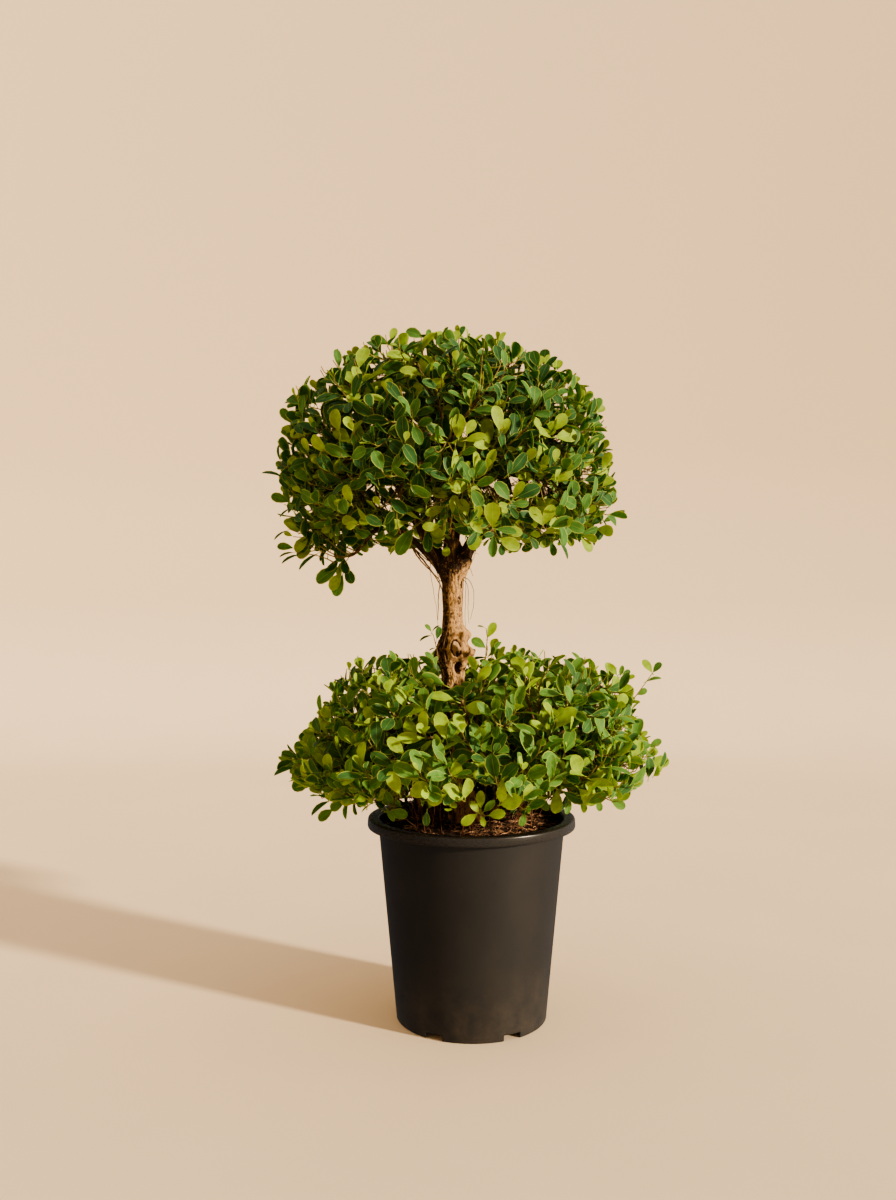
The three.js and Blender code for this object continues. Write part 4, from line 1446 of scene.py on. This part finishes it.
def leaf_material(name, colour, margin):
    """A glossy blade with a pale midrib and a pale margin, by the mesh's rim attribute."""
    look = {"patch": 55.0, "grain": 900.0, "gloss": 0.45, "strength": 0.12, "specular": 0.065}
    made = mottled_material(name, paint(colour), paint(colour, 0.7), **look)
    tree = made.node_tree
    shader = tree.nodes["Principled BSDF"]
    mottle = shader.inputs["Base Color"].links[0].from_socket
    rim = mesh_value(tree, "rim")
    edge = ranged(tree, rim, 0.85, 0.94, 0.0, 0.62)
    rib = ranged(tree, rim, 0.02, 0.07, 0.25, 0.0)
    blade = blended(tree, math_node(tree, "MAXIMUM", edge, rib), mottle, paint(margin))
    feed_all(tree, shader, Base_Color=blade, Subsurface_Weight=0.1, Subsurface_Scale=0.004)
    feed_all(tree, shader, Subsurface_Radius=(0.5, 1.0, 0.1))
    return made


def bark_material(settings):
    """Tan ridges over dark cracks, by the relief and scar attributes of the mesh."""
    made, tree, shader = material("ficus bark", roughness=0.85, specular=0.3)
    fine = noise_node(tree, 260.0, detail=6.0, rough=0.6, stretch=(1, 1, 0.5))
    broad = noise_node(tree, 30.0, detail=3.0, rough=0.5, stretch=(1, 1, 0.4))
    height = math_node(tree, "ADD", mesh_value(tree, "relief"), ranged(tree, fine, 0.3, 0.7, -0.3, 0.3))
    wear_and_sheen = paint(settings.ridge, 0.78)
    ridge = blended(tree, ranged(tree, broad, 0.35, 0.65), paint(settings.ridge), wear_and_sheen)
    bark = blended(tree, ranged(tree, height, 0.18, 0.72), paint(settings.crack), ridge)
    scarred = blended(tree, mesh_value(tree, "scar"), bark, BARE_WOOD)
    rough = ranged(tree, fine, 0.3, 0.7, 0.72, 0.95)
    relief = bump_node(tree, fine, strength=0.7, distance=0.0016)
    feed_all(tree, shader, Base_Color=scarred, Roughness=rough, Normal=relief)
    return made


def plastic_material(settings):
    """Satin black plastic with a faint cloudiness, fine scratches, dust towards the foot and a painted
    highlight mixed into the lip.
    """
    made, tree, shader = material("moulded pot plastic", roughness=0.42, specular=0.36)
    scratch = noise_node(tree, 120.0, detail=5.0, rough=0.7, stretch=(1, 1, 6))
    height = own_height(tree)
    low = ranged(tree, height, 0.0, 0.16, 1.0, 0.0)
    lip = ranged(tree, height, settings.height - 0.024, settings.height - 0.018)
    specks = ranged(tree, noise_node(tree, 26.0, detail=6.0, rough=0.65), 0.35, 0.8, 0.0, 0.22)
    dust = math_node(tree, "MULTIPLY", low, specks)
    cloud = ranged(tree, noise_node(tree, 9.0, detail=4.0, rough=0.6), 0.3, 0.7)
    clouded = blended(tree, cloud, paint(settings.colour), paint(settings.colour, 1.45))
    # A little pale tint on the lip: a painted highlight.
    wear_and_sheen = blended(tree, math_node(tree, "MULTIPLY", lip, 0.02), clouded, LIP_HIGHLIGHT_TINT)
    glossy = math_node(tree, "MULTIPLY", lip, 0.17)
    rough = math_node(tree, "SUBTRACT", ranged(tree, scratch, 0.3, 0.75, 0.4, 0.52), glossy)
    relief = bump_node(tree, scratch, strength=0.06, distance=0.0005)
    feed_all(tree, shader, Base_Color=blended(tree, dust, wear_and_sheen, DUST), Roughness=rough, Normal=relief)
    return made


def stage_material(settings):
    """A matt floor with a faint cloudiness that turns to the backdrop's colour as it rises."""
    made, tree, shader = material("studio floor", roughness=0.9, specular=0.2)
    cloud = ranged(tree, noise_node(tree, 1.4, detail=3.0), 0.35, 0.65)
    tint = blended(tree, cloud, paint(settings.floor), paint(settings.floor, 1.04))
    wall = blended(tree, ranged(tree, own_height(tree), 0.0, 0.9), tint, paint(settings.wall))
    feed_all(tree, shader, Base_Color=wall)
    return made


# Pot
def notch_cutters(settings):
    """Boxes for the drain notches round the foot."""
    made = bmesh.new()
    for k in range(NOTCHES):
        turn = Matrix.Rotation(rad(360 / NOTCHES * k), 4, "Z")
        place = turn @ Matrix.Translation((settings.foot_radius - 0.007, 0, 0))
        bmesh.ops.create_cube(made, size=1, matrix=place @ Matrix.Diagonal(NOTCH_SIZE))
    mesh = bpy.data.meshes.new("notches")
    made.to_mesh(mesh)
    made.free()
    return in_scene("notches", mesh)


def pot_profile(settings):
    """Half of the pot's section: out along its underside, up its outside, over its lip and down within."""
    foot, height, wall, lip = settings.foot_radius, settings.height, settings.wall, settings.lip_radius
    slope = (settings.body_top_radius - foot) / height

    def side(z):
        return foot + slope * z

    lip_foot = height - LIP_DEPTH
    inner = side(height) - wall
    underside = [(0, 0), (PAD_RADIUS, 0)]
    underside += arc((PAD_RADIUS, 0.002), 0.002, -90, -20, 3)[1:]
    underside += [(CHANNEL_INNER, CHANNEL_ROOF), (foot - wall, CHANNEL_ROOF), (foot - wall, 0.0015)]
    underside += [(foot - wall + 0.001, 0.0003), (foot - 0.0012, 0.0003), (side(0.0015), 0.0015)]
    steps = 8
    outside = [(side(z), z) for z in [0.02 + (lip_foot - 0.03) * i / steps for i in range(steps + 1)]]
    outside += arc((side(height) + 0.0035, lip_foot + 0.009), 0.004, 180, 90, 4)
    rolled = [(lip - 0.0055, lip_foot + 0.0125), (lip - 0.0036, lip_foot + 0.0115)]
    rolled += [(lip - 0.0034, lip_foot + 0.001)]
    rolled += arc((lip - 0.002, lip_foot + 0.0014), 0.0014, 190, 350, 4)
    rolled += [(lip, lip_foot + 0.004), (lip - 0.0008, height - ROLL)]
    rolled += arc((lip - 0.0008 - ROLL, height - ROLL), ROLL, 0, 90, 6)[1:]
    rolled += [(lip - 0.013, height), (inner + 0.009, height - 0.0006)]
    inside = arc((inner + 0.005, height - 0.0056), 0.005, 90, 180, 5)
    inside += [(side(lip_foot) - wall, lip_foot - 0.004)]
    inside += [(side(z) - wall, z) for z in (0.3, 0.1, BASE_TOP)]
    inside += [(0.117, BASE_TOP), (0.103, 0.005), (0, 0.005)]
    return underside + outside + rolled + inside


class AddPot(bpy.types.Operator):
    """Makes the nursery pot: a tapered wall, a rolled lip that is hollow below, and drain notches"""

    bl_idname = "topiary.add_pot"
    bl_label = "Add pot"

    def execute(self, context):
        settings = context.scene.topiary_pot
        body = in_scene("pot_body", turned("pot_body", pot_profile(settings), 192))
        cutters = notch_cutters(settings)
        cut = body.modifiers.new("Notches", "BOOLEAN")
        cut.operation = "DIFFERENCE"
        cut.solver = "EXACT"
        cut.object = cutters
        soften = body.modifiers.new("Soft edges", "BEVEL")
        soften.width = 0.0006
        soften.segments = 2
        soften.limit_method = "ANGLE"
        soften.angle_limit = rad(50)
        mesh = plain_mesh(body, "nursery_pot")
        bpy.data.objects.remove(cutters)
        mesh.shade_smooth()
        mesh.set_sharp_from_angle(angle=rad(38))
        mesh.materials.clear()
        mesh.materials.append(plastic_material(settings))
        add_piece("nursery_pot", mesh, ["pot"])
        return {"FINISHED"}


# Soil
def soil_height(x, y):
    """The heaped, crumbly surface of the soil."""
    heap = max(0, 1 - max(math.hypot(x, y) - 0.05, 0) / 0.145)
    crumbs = noise.fractal(Vector((x, y, 0.3)) * 55, 0.9, 2.1, 4) * 0.0022
    clods = noise.noise(Vector((x, y, 1.7)) * 19) * 0.0028
    edge = SOIL_BOX[1].z - 0.009
    return edge + 0.0062 * heap + crumbs + clods - 0.001


class AddSoil(bpy.types.Operator):
    """Makes the soil's surface with its crumbs, and the dry roots and litter that lie on it"""

    bl_idname = "topiary.add_soil"
    bl_label = "Add soil"

    def execute(self, context):
        rings, segments = 46, 150
        points = [Vector((0, 0, soil_height(0, 0)))]
        for i in range(1, rings + 1):
            flat = SOIL_RADIUS * (i / rings) ** 0.85
            for j in range(segments):
                x, y = flat * math.cos(math.tau * j / segments), flat * math.sin(math.tau * j / segments)
                points.append(Vector((x, y, soil_height(x, y))))
        last = len(points) - segments
        low = len(points)
        foot_z = SOIL_BOX[0].z + 0.02
        points += [polar(SOIL_FOOT, math.tau * j / segments, foot_z) for j in range(segments)]
        points.append(Vector((0, 0, foot_z)))
        faces = [(0, 1 + j, 1 + k) for j, k in round_pairs(segments)]
        for a in range(1, last, segments):
            b = a + segments
            faces += [(a + j, b + j, b + k, a + k) for j, k in round_pairs(segments)]
        for j, k in round_pairs(segments):
            faces += [(last + j, low + j, low + k, last + k), (low + j, len(points) - 1, low + k)]
        mesh = mesh_from("soil_surface", points, faces)
        look = {"patch": 90.0, "grain": 420.0, "gloss": 0.86, "strength": 1.0, "specular": 0.2}
        mesh.materials.append(mottled_material("potting soil", *SOIL_COLOURS, **look))
        add_piece("soil_surface", mesh, ["soil"])
        self.add_litter()
        return {"FINISHED"}

    def add_litter(self):
        """Dry roots and bits of bark strewn over the soil, fewer of them at the left as painted shade."""
        rng = random.Random(71)
        limbs = []
        steps = 5
        for n in range(LITTER.count):
            angle = rng.uniform(0, math.tau)
            flat = LITTER.radius * math.sqrt(rng.uniform(0.06, 1))
            x, y = flat * math.cos(angle), flat * math.sin(angle)
            length = rng.uniform(*LITTER.length)
            heading = rng.uniform(0, math.tau)
            turn = rng.uniform(-1.2, 1.2)
            line = []
            for i in range(steps + 1):
                arch = LITTER.arch * math.sin(math.pi * i / steps) * rng.random()
                line.append(Vector((x, y, soil_height(x, y) + LITTER.lift + arch)))
                heading += turn / steps
                x += math.cos(heading) * length / steps
                y += math.sin(heading) * length / steps
            # Fewer pale fibres at the left: painted shade.
            bare = x < LITTER.shaded_x and rng.random() < LITTER.bare
            if not bare and all(math.hypot(p.x, p.y) < LITTER.limit for p in line):
                limbs.append(limb(line, rng.uniform(0.4, 1.0) * MM, 0.35 * MM))
        look = {"patch": 60.0, "grain": 700.0, "gloss": 0.8, "strength": 0.5, "specular": 0.2}
        made = mottled_material("dry roots", *LITTER_COLOURS, **look)
        add_tubes("soil_litter", limbs, 5, made)


# Wood
class Bark:
    """The points and faces of limbs, with each point's relief and the share of bare wood that shows there."""

    def __init__(self):
        self.points = []
        self.faces = []
        self.relief = []
        self.scar = []

    def skin(self, line, radius_at, sides):
        """Adds one closed limb along a line. radius_at gives a point's radius, relief and bare wood."""
        points, faces = self.points, self.faces
        first = len(points)
        across = (line[1] - line[0]).orthogonal().normalized()
        for i, centre in enumerate(line):
            ahead = line[min(i + 1, len(line) - 1)] - line[max(i - 1, 0)]
            ahead.normalize()
            across = (across - ahead * across.dot(ahead)).normalized()
            other = ahead.cross(across)
            for j in range(sides):
                angle = math.tau * j / sides
                out = across * math.cos(angle) + other * math.sin(angle)
                radius, relief, scar = radius_at(i / (len(line) - 1), centre, out)
                points.append(centre + out * radius)
                self.relief.append(relief)
                self.scar.append(scar)
        last = len(points) - sides
        for a in range(first, last, sides):
            b = a + sides
            faces += [(a + j, a + k, b + k, b + j) for j, k in round_pairs(sides)]
        low = len(points)
        points += [line[0], line[-1]]
        self.relief += [0.5, 0.5]
        self.scar += [0, 0]
        for j, k in round_pairs(sides):
            faces += [(low, first + k, first + j), (low + 1, last + j, last + k)]

    def add(self, name, made, replaced):
        """Makes the piece of all the limbs."""
        mesh = mesh_from(name, self.points, self.faces)
        set_points(mesh, "relief", "FLOAT", self.relief)
        set_points(mesh, "scar", "FLOAT", self.scar)
        mesh.materials.append(made)
        add_piece(name, mesh, replaced)


def oval(azimuth, z, place):
    """How far a point on the trunk is from an oval mark, where 1 is its edge."""
    across = wrapped(azimuth - rad(place.azimuth)) * TRUNK.burl_radius
    up = z - place.z
    lean = rad(place.tilt)
    wide = across * math.cos(lean) + up * math.sin(lean)
    high = up * math.cos(lean) - across * math.sin(lean)
    return math.hypot(wide / place.half_wide, high / place.half_high)


def shaded_head(p):
    """How far a point lies in the trunk's head: its dark, fibrous bark and painted shade under the crown,
    which reaches down further at the left, away from the key light.
    """
    return clamped((p.z - BARK.head_z - 0.8 * (p.x + 0.0083)) / 0.016)


def bark_depth(p):
    """Relief of the bark, about -1 in a pit to 1 on a ridge: streaks, rings in the middle, a swirl above."""
    swirl = 9 * max(0, p.z - BARK.swirl_above) - 5 * max(0, BARK.swirl_below - p.z)
    turned_p = Vector((p.x + 0.04, p.y, 0))
    turned_p.rotate(Matrix.Rotation(swirl, 3, "Z"))
    streaks = noise.fractal(Vector((turned_p.x, turned_p.y, p.z * 0.45)) * 150, 0.7, 2.1, 4)
    grain = noise.fractal(p * 330, 0.8, 2.1, 3)
    rings = noise.noise(Vector((turned_p.x * 30, turned_p.y * 30, p.z * 240)))
    ringed = bump(p.z - BARK.rings_z, BARK.rings_spread)
    pits = max(0, noise.noise(p * 120) - 0.3)
    depth = (1 - 0.75 * ringed) * 0.95 * streaks + ringed * 0.75 * rings + 0.6 * grain - 1.8 * pits
    return max(-1, min(1, depth + 0.12))


def painted_side_shade(centre, out, surface):
    """How much painted shade darkens the trunk's left side there, the side away from the key light."""
    shade_edge = 0.44 if centre.z > BARK.burl_top else 0.3
    return clamped((-out.x - shade_edge + 0.08 * noise.noise(surface * 90)) / 0.1)


def trunk_skin(relief_depth):
    """The rule for the trunk's radius, relief and bare wood, with its lumps, scar, pits and head, and painted
    shade on its left side, in its pits and on its head.
    """

    def radius_at(share, centre, out):
        azimuth = math.atan2(out.y, out.x)
        radius = knobbed(trunk_radius(centre.z, azimuth), LUMPS, centre.z, azimuth)
        surface = centre + out * radius
        depth = bark_depth(surface)
        side_shade = painted_side_shade(centre, out, surface)
        mark = 0
        edge = oval(azimuth, centre.z, SCAR) + 0.05 * noise.noise(surface * 170)
        if edge < SCAR.healed:
            mark = 0.6 + 0.5 * noise.noise(surface * 300)
            depth = 0.8 * depth
            radius -= 0.003 * (1 - edge)
        elif edge < 1:
            depth = -1
            radius -= 0.0018
        elif edge < SCAR.lip:
            depth = 0.3 + 0.7 * depth
            radius += 0.003 * (SCAR.lip - edge) / (SCAR.lip - 1)
        # Pits and the hollow take the crack colour through: painted shade in them.
        for pit in PITS:
            apart = oval(azimuth, centre.z, pit)
            if apart < 1:
                mark = 0
                depth = -1
                radius -= pit.deep * math.sqrt(1 - apart * apart)
        top = max(0, (share - 0.97) / 0.03)
        radius *= math.sqrt(max(0, 1 - top * top * 0.85))
        # The head's dark, fibrous bark and painted shade under the crown, with lighter specks as painted lit
        # bits.
        head = shaded_head(surface)
        specks = max(0, noise.noise(surface * 380)) * 1.1
        # Painted shade on the left side, away from the key light, broken by lighter specks.
        side_shade *= 0.55 - specks * 0.6
        shown = 0.6 + depth / 2.1 - side_shade + head * (specks - 0.75)
        return radius + relief_depth * depth * (1 + 1.3 * head), shown, mark

    return radius_at


def bough_skin(foot, tip):
    """The rule for a bough's radius and relief: a taper with a flare at its foot. Its bark is kept near the
    crack colour as painted shade under the crown, with lighter specks as painted lit bits.
    """

    def radius_at(share, centre, out):
        radius = foot + (tip - foot) * share + foot * 0.45 * bump(share, 0.16)
        depth = bark_depth(centre + out * radius)
        specks = max(0, noise.noise(centre * 300 + out * 4)) * 0.8
        return radius * (1 + 0.3 * depth), depth / 2 - 0.05 + specks, 0

    return radius_at


class AddWood(bpy.types.Operator):
    """Makes the trunk and the boughs with their bark's relief, and the thin roots that hang from the fork"""

    bl_idname = "topiary.add_wood"
    bl_label = "Add trunk and boughs"

    def execute(self, context):
        settings = context.scene.topiary_wood
        made = bark_material(settings)
        steps = 320
        rise = TRUNK_TOP_Z - TRUNK_FOOT_Z
        trunk = Bark()
        line = [trunk_centre(TRUNK_FOOT_Z + rise * i / steps) for i in range(steps + 1)]
        trunk.skin(line, trunk_skin(settings.relief), 124)
        trunk.add("trunk_bark", made, ["trunk"])

        boughs = Bark()
        for line, foot, tip in plant(context).boughs:
            boughs.skin(line, bough_skin(foot, tip), 16)
        boughs.add("bough_bark", made, BOUGHS)
        self.add_roots(settings, plant(context).boughs)
        return {"FINISHED"}

    def add_roots(self, settings, boughs):
        """Roots grown to the trunk below the fork, and fine threads that hang free beside it."""
        rng = random.Random(23)
        roots = []
        steps = 16
        for n in range(16):
            azimuth = rad(-108 - 10 * n + rng.uniform(-6, 6))
            top = rng.uniform(0.96, 1.0)
            foot = top - rng.uniform(0.05, 0.09 if n % 3 else 0.26)
            twist = rng.uniform(-0.5, 0.5)
            thick = rng.uniform(1.3, 3.2) * MM
            line = []
            for i in range(steps + 1):
                z = top + (foot - top) * i / steps
                turn = azimuth + twist * i / steps + 0.12 * math.sin(i * 0.9 + n)
                radius = trunk_radius(z, turn) + thick * 0.35
                line.append(Vector((trunk_centre(z).x + radius * math.cos(turn), radius * math.sin(turn), z)))
            roots.append(limb(line, thick, thick * 0.5))
        roots += self.fork_roots(boughs, rng)
        for thick, *knees in HANGING_ROOTS:
            line = bezier([Vector(knee) for knee in knees], steps=16)
            roots.append(limb([p + jitter(rng, 0.0006) for p in line], thick, thick * 0.55))
        look = {"patch": 70.0, "grain": 500.0, "gloss": 0.85, "strength": 0.6, "specular": 0.2}
        # The roots' dark colour is partly their own and partly painted shade at the fork.
        made = mottled_material("aerial roots", paint(settings.ridge, 0.34), paint(settings.crack), **look)
        add_tubes("aerial_roots", roots, 7, made)

    def fork_roots(self, boughs, rng):
        """Roots that leave the boughs near the fork for the trunk, and short bristles on the fork."""
        roots = []
        for line, bough_foot, _ in boughs:
            if line[0].z < LOWEST_CROWN_LIMB:
                continue
            for n in range(7):
                start, _ = along_line(line, rng.uniform(0.12, 0.5))
                side = (jitter(rng, 1) - UP * 0.8).normalized()
                start = start + side * bough_foot * 0.8
                end_z = start.z - rng.uniform(0.03, 0.09)
                turn = math.atan2(start.y, start.x - trunk_centre(end_z).x) + rng.uniform(-0.3, 0.3)
                radius = trunk_radius(end_z, turn) + 0.001
                end = trunk_centre(end_z) + polar(1, turn, 0) * radius
                middle = start.lerp(end, 0.5) - UP * rng.uniform(-0.006, 0.012) + jitter(rng, 0.005)
                thick = rng.uniform(0.5, 2.0) * MM
                root = [p + jitter(rng, 0.0006) for p in bezier([start, middle, end], steps=10)]
                roots.append(limb(root, thick, thick * 0.7))
            for n in range(16):
                start, _ = along_line(line, rng.uniform(0.02, 0.55))
                heading = (jitter(rng, 1) - UP * 0.2).normalized()
                length = bough_foot + rng.uniform(0.004, 0.016)
                end = start + heading * length + jitter(rng, 0.005)
                bristle = bezier([start, start + heading * length * 0.6, end], steps=4)
                roots.append(limb(bristle, 0.6 * MM, 0.3 * MM))
        return roots


grown = {}


def plant(context):
    """The grown plant, made once for all its pieces."""
    if "plant" not in grown:
        grown["plant"] = grow_plant(context)
    return grown["plant"]


class AddTwigs(bpy.types.Operator):
    """Makes the older twigs and the leafy shoots"""

    bl_idname = "topiary.add_twigs"
    bl_label = "Add twigs"

    def execute(self, context):
        growth = plant(context)
        settings = context.scene.topiary_wood
        twig, stem, shoot = settings.twig, settings.stem, settings.shoot
        look = {"patch": 45.0, "grain": 500.0, "gloss": 0.62, "strength": 0.5, "specular": 0.3}
        for name, limbs, sides, colour, dark in (
            ("older_twigs", growth.twigs, 7, paint(twig), paint(twig, 0.45)),
            ("bare_twigs", growth.dead, 4, paint(twig, 0.65), paint(twig, 0.25)),
            ("basal_stems", growth.stems, 5, paint(stem), paint(stem, 0.35)),
            ("leafy_shoots", growth.shoots, 5, paint(shoot), paint(twig, 1.1)),
        ):
            made = mottled_material(name.replace("_", " "), colour, dark, **look)
            add_tubes(name, limbs, sides, made)
        return {"FINISHED"}


class AddLeaves(bpy.types.Operator):
    """Makes the leaves of both tiers, in pieces by tier and colour, and their pale ribs and stalks"""

    bl_idname = "topiary.add_leaves"
    bl_label = "Add leaves"

    def execute(self, context):
        growth = plant(context)
        stalk_look = {"patch": 55.0, "grain": 900.0, "gloss": 0.5, "strength": 0.1}
        tree = leaf_tree(len(LEAF_KINDS))
        blades = [in_scene("blade", leaf_blade("blade_" + kind, *shape)) for kind, *shape in LEAF_KINDS]
        stalks = [in_scene("stalk", leaf_stalk("stalk_" + kind, bend)) for kind, *_, bend in LEAF_KINDS]
        for tier, settings, masses in (
            ("crown", context.scene.topiary_crown, CROWN_MASSES),
            ("mound", context.scene.topiary_mound, MOUND_MASSES),
        ):
            every = []
            for hue in BLADE_HUES:
                leaves = growth.leaves[tier, hue]
                made = leaf_material(f"{tier} {hue} leaves", getattr(settings, hue), settings.margin)
                self.add_kind(f"{tier}_leaves_{hue}", leaves, tree, blades, made, tier, masses)
                every += leaves
            colours = paint(settings.margin), paint(settings.fresh)
            made = mottled_material(f"{tier} leaf stalks", *colours, **stalk_look)
            self.add_kind(f"{tier}_leaf_stalks", every, tree, stalks, made, tier, ())
        for template in blades + stalks:
            bpy.data.objects.remove(template)
        return {"FINISHED"}

    def add_kind(self, name, leaves, tree, templates, made, tier, masses):
        """A piece with one of the templates at each leaf's place."""
        places, turns, sizes, kinds = zip(*leaves)
        mesh = bpy.data.meshes.new(name + "_points")
        mesh.from_pydata([tuple(at) for at in places], [], [])
        set_points(mesh, "turn", "QUATERNION", [c for turn in turns for c in turn])
        set_points(mesh, "size", "FLOAT", sizes)
        set_points(mesh, "kind", "INT", kinds)
        values = {"Size": 1.0, "Material": made}
        values.update({f"Leaf {n + 1}": template for n, template in enumerate(templates)})
        add_piece(name, baked(in_scene(name + "_points", mesh), tree, values, name), masses)


# Studio
class AddStudio(bpy.types.Operator):
    """Sets the floor with its rounded backdrop, the lights and the camera"""

    bl_idname = "topiary.add_studio"
    bl_label = "Add studio"

    def execute(self, context):
        settings = context.scene.topiary_studio
        self.add_floor(settings)
        self.add_lights(context.scene, settings)
        context.scene.view_settings.view_transform = "AgX"
        context.scene.view_settings.look = "AgX - Medium High Contrast"

        lens = bpy.data.cameras.new("camera")
        lens.lens = CAMERA.lens
        lens.sensor_width = CAMERA.sensor
        lens.clip_end = CAMERA.clip
        camera = in_scene("camera", lens)
        camera.location = CAMERA.at
        camera.rotation_euler = (rad(90), 0, 0)
        context.scene.camera = camera
        return {"FINISHED"}

    def add_floor(self, settings):
        """A floor that curves up into a backdrop all round, wider across than deep and higher at its ends."""
        stage = STAGE
        profile = [(0, 0), (1.2, 0), (3.0, 0)]
        profile += arc((stage.flat, stage.curve), stage.curve, -90, 0, 16)
        profile += [(stage.flat + stage.curve, stage.height)]
        mesh = turned("studio_floor", profile, 128)
        mesh.transform(Matrix.Diagonal((stage.stretch, 1, 1, 1)))
        half_x = stage.stretch * (stage.flat + stage.curve)
        for corner in mesh.vertices:
            if corner.co.z > stage.height - 0.5:
                corner.co.z *= 1 + stage.end_rise * (corner.co.x / half_x) ** 2
        mesh.flip_normals()
        mesh.materials.append(stage_material(settings))
        floor = in_scene("studio_floor", mesh)
        floor.visible_shadow = False
        floor.visible_glossy = False

    def add_lights(self, scene, settings):
        """A low warm key light, and a soft fill that is brightest from the front and above."""
        sun = bpy.data.lights.new("key_light", "SUN")
        sun.energy = settings.key_strength
        sun.angle = rad(KEY.spread)
        sun.color = KEY.colour
        lamp = in_scene("key_light", sun)
        lamp.rotation_mode = "QUATERNION"
        lamp.rotation_quaternion = KEY.heading.to_track_quat("-Z", "Y")

        world = bpy.data.worlds.new("soft_fill")
        world.use_nodes = True
        tree = world.node_tree
        facing = add_node(tree, "ShaderNodeVectorMath", {"operation": "DOT_PRODUCT"})
        feed(tree, facing.inputs[0], tree.nodes.new("ShaderNodeTexCoord").outputs["Generated"])
        feed(tree, facing.inputs[1], FILL.from_side)
        sky = blended(tree, ranged(tree, facing.outputs["Value"], -0.5, 1.0), FILL.dim, FILL.bright)
        feed_all(tree, tree.nodes["Background"], Color=sky, Strength=settings.fill_strength)
        scene.world = world


class TopiaryPanel(bpy.types.Panel):
    """Buttons for each piece of the topiary"""

    bl_idname = "VIEW3D_PT_topiary"
    bl_label = "Tiered topiary"
    bl_space_type = "VIEW_3D"
    bl_region_type = "UI"
    bl_category = "Topiary"

    def draw(self, context):
        for operator in OPERATORS:
            self.layout.operator(operator.bl_idname)


SETTINGS = {
    "topiary_pot": PotSettings,
    "topiary_wood": WoodSettings,
    "topiary_crown": TierSettings,
    "topiary_mound": TierSettings,
    "topiary_studio": StudioSettings,
}
# The lower tier is looser and brighter than the crown, whose values are the defaults.
MOUND_VALUES = {
    "shoots": 390,
    "fill": 270,
    "leaf_length": 0.048,
    "deep": (0.041, 0.109, 0.034),
    "mid": (0.094, 0.213, 0.047),
    "fresh": (0.236, 0.382, 0.044),
    "seed": 4231,
}
OPERATORS = (AddPot, AddSoil, AddWood, AddTwigs, AddLeaves, AddStudio)


def register():
    for settings in dict.fromkeys(SETTINGS.values()):
        bpy.utils.register_class(settings)
    for name, settings in SETTINGS.items():
        setattr(bpy.types.Scene, name, bpy.props.PointerProperty(type=settings))
    for operator in OPERATORS:
        bpy.utils.register_class(operator)
    bpy.utils.register_class(TopiaryPanel)


def unregister():
    bpy.utils.unregister_class(TopiaryPanel)
    for operator in reversed(OPERATORS):
        bpy.utils.unregister_class(operator)
    for name in SETTINGS:
        delattr(bpy.types.Scene, name)
    for settings in dict.fromkeys(SETTINGS.values()):
        bpy.utils.unregister_class(settings)


def main():
    register()
    for name, value in MOUND_VALUES.items():
        setattr(bpy.context.scene.topiary_mound, name, value)
    bpy.ops.topiary.add_pot()
    bpy.ops.topiary.add_soil()
    bpy.ops.topiary.add_wood()
    bpy.ops.topiary.add_twigs()
    bpy.ops.topiary.add_leaves()
    bpy.ops.topiary.add_studio()


if __name__ == "__main__":
    main()
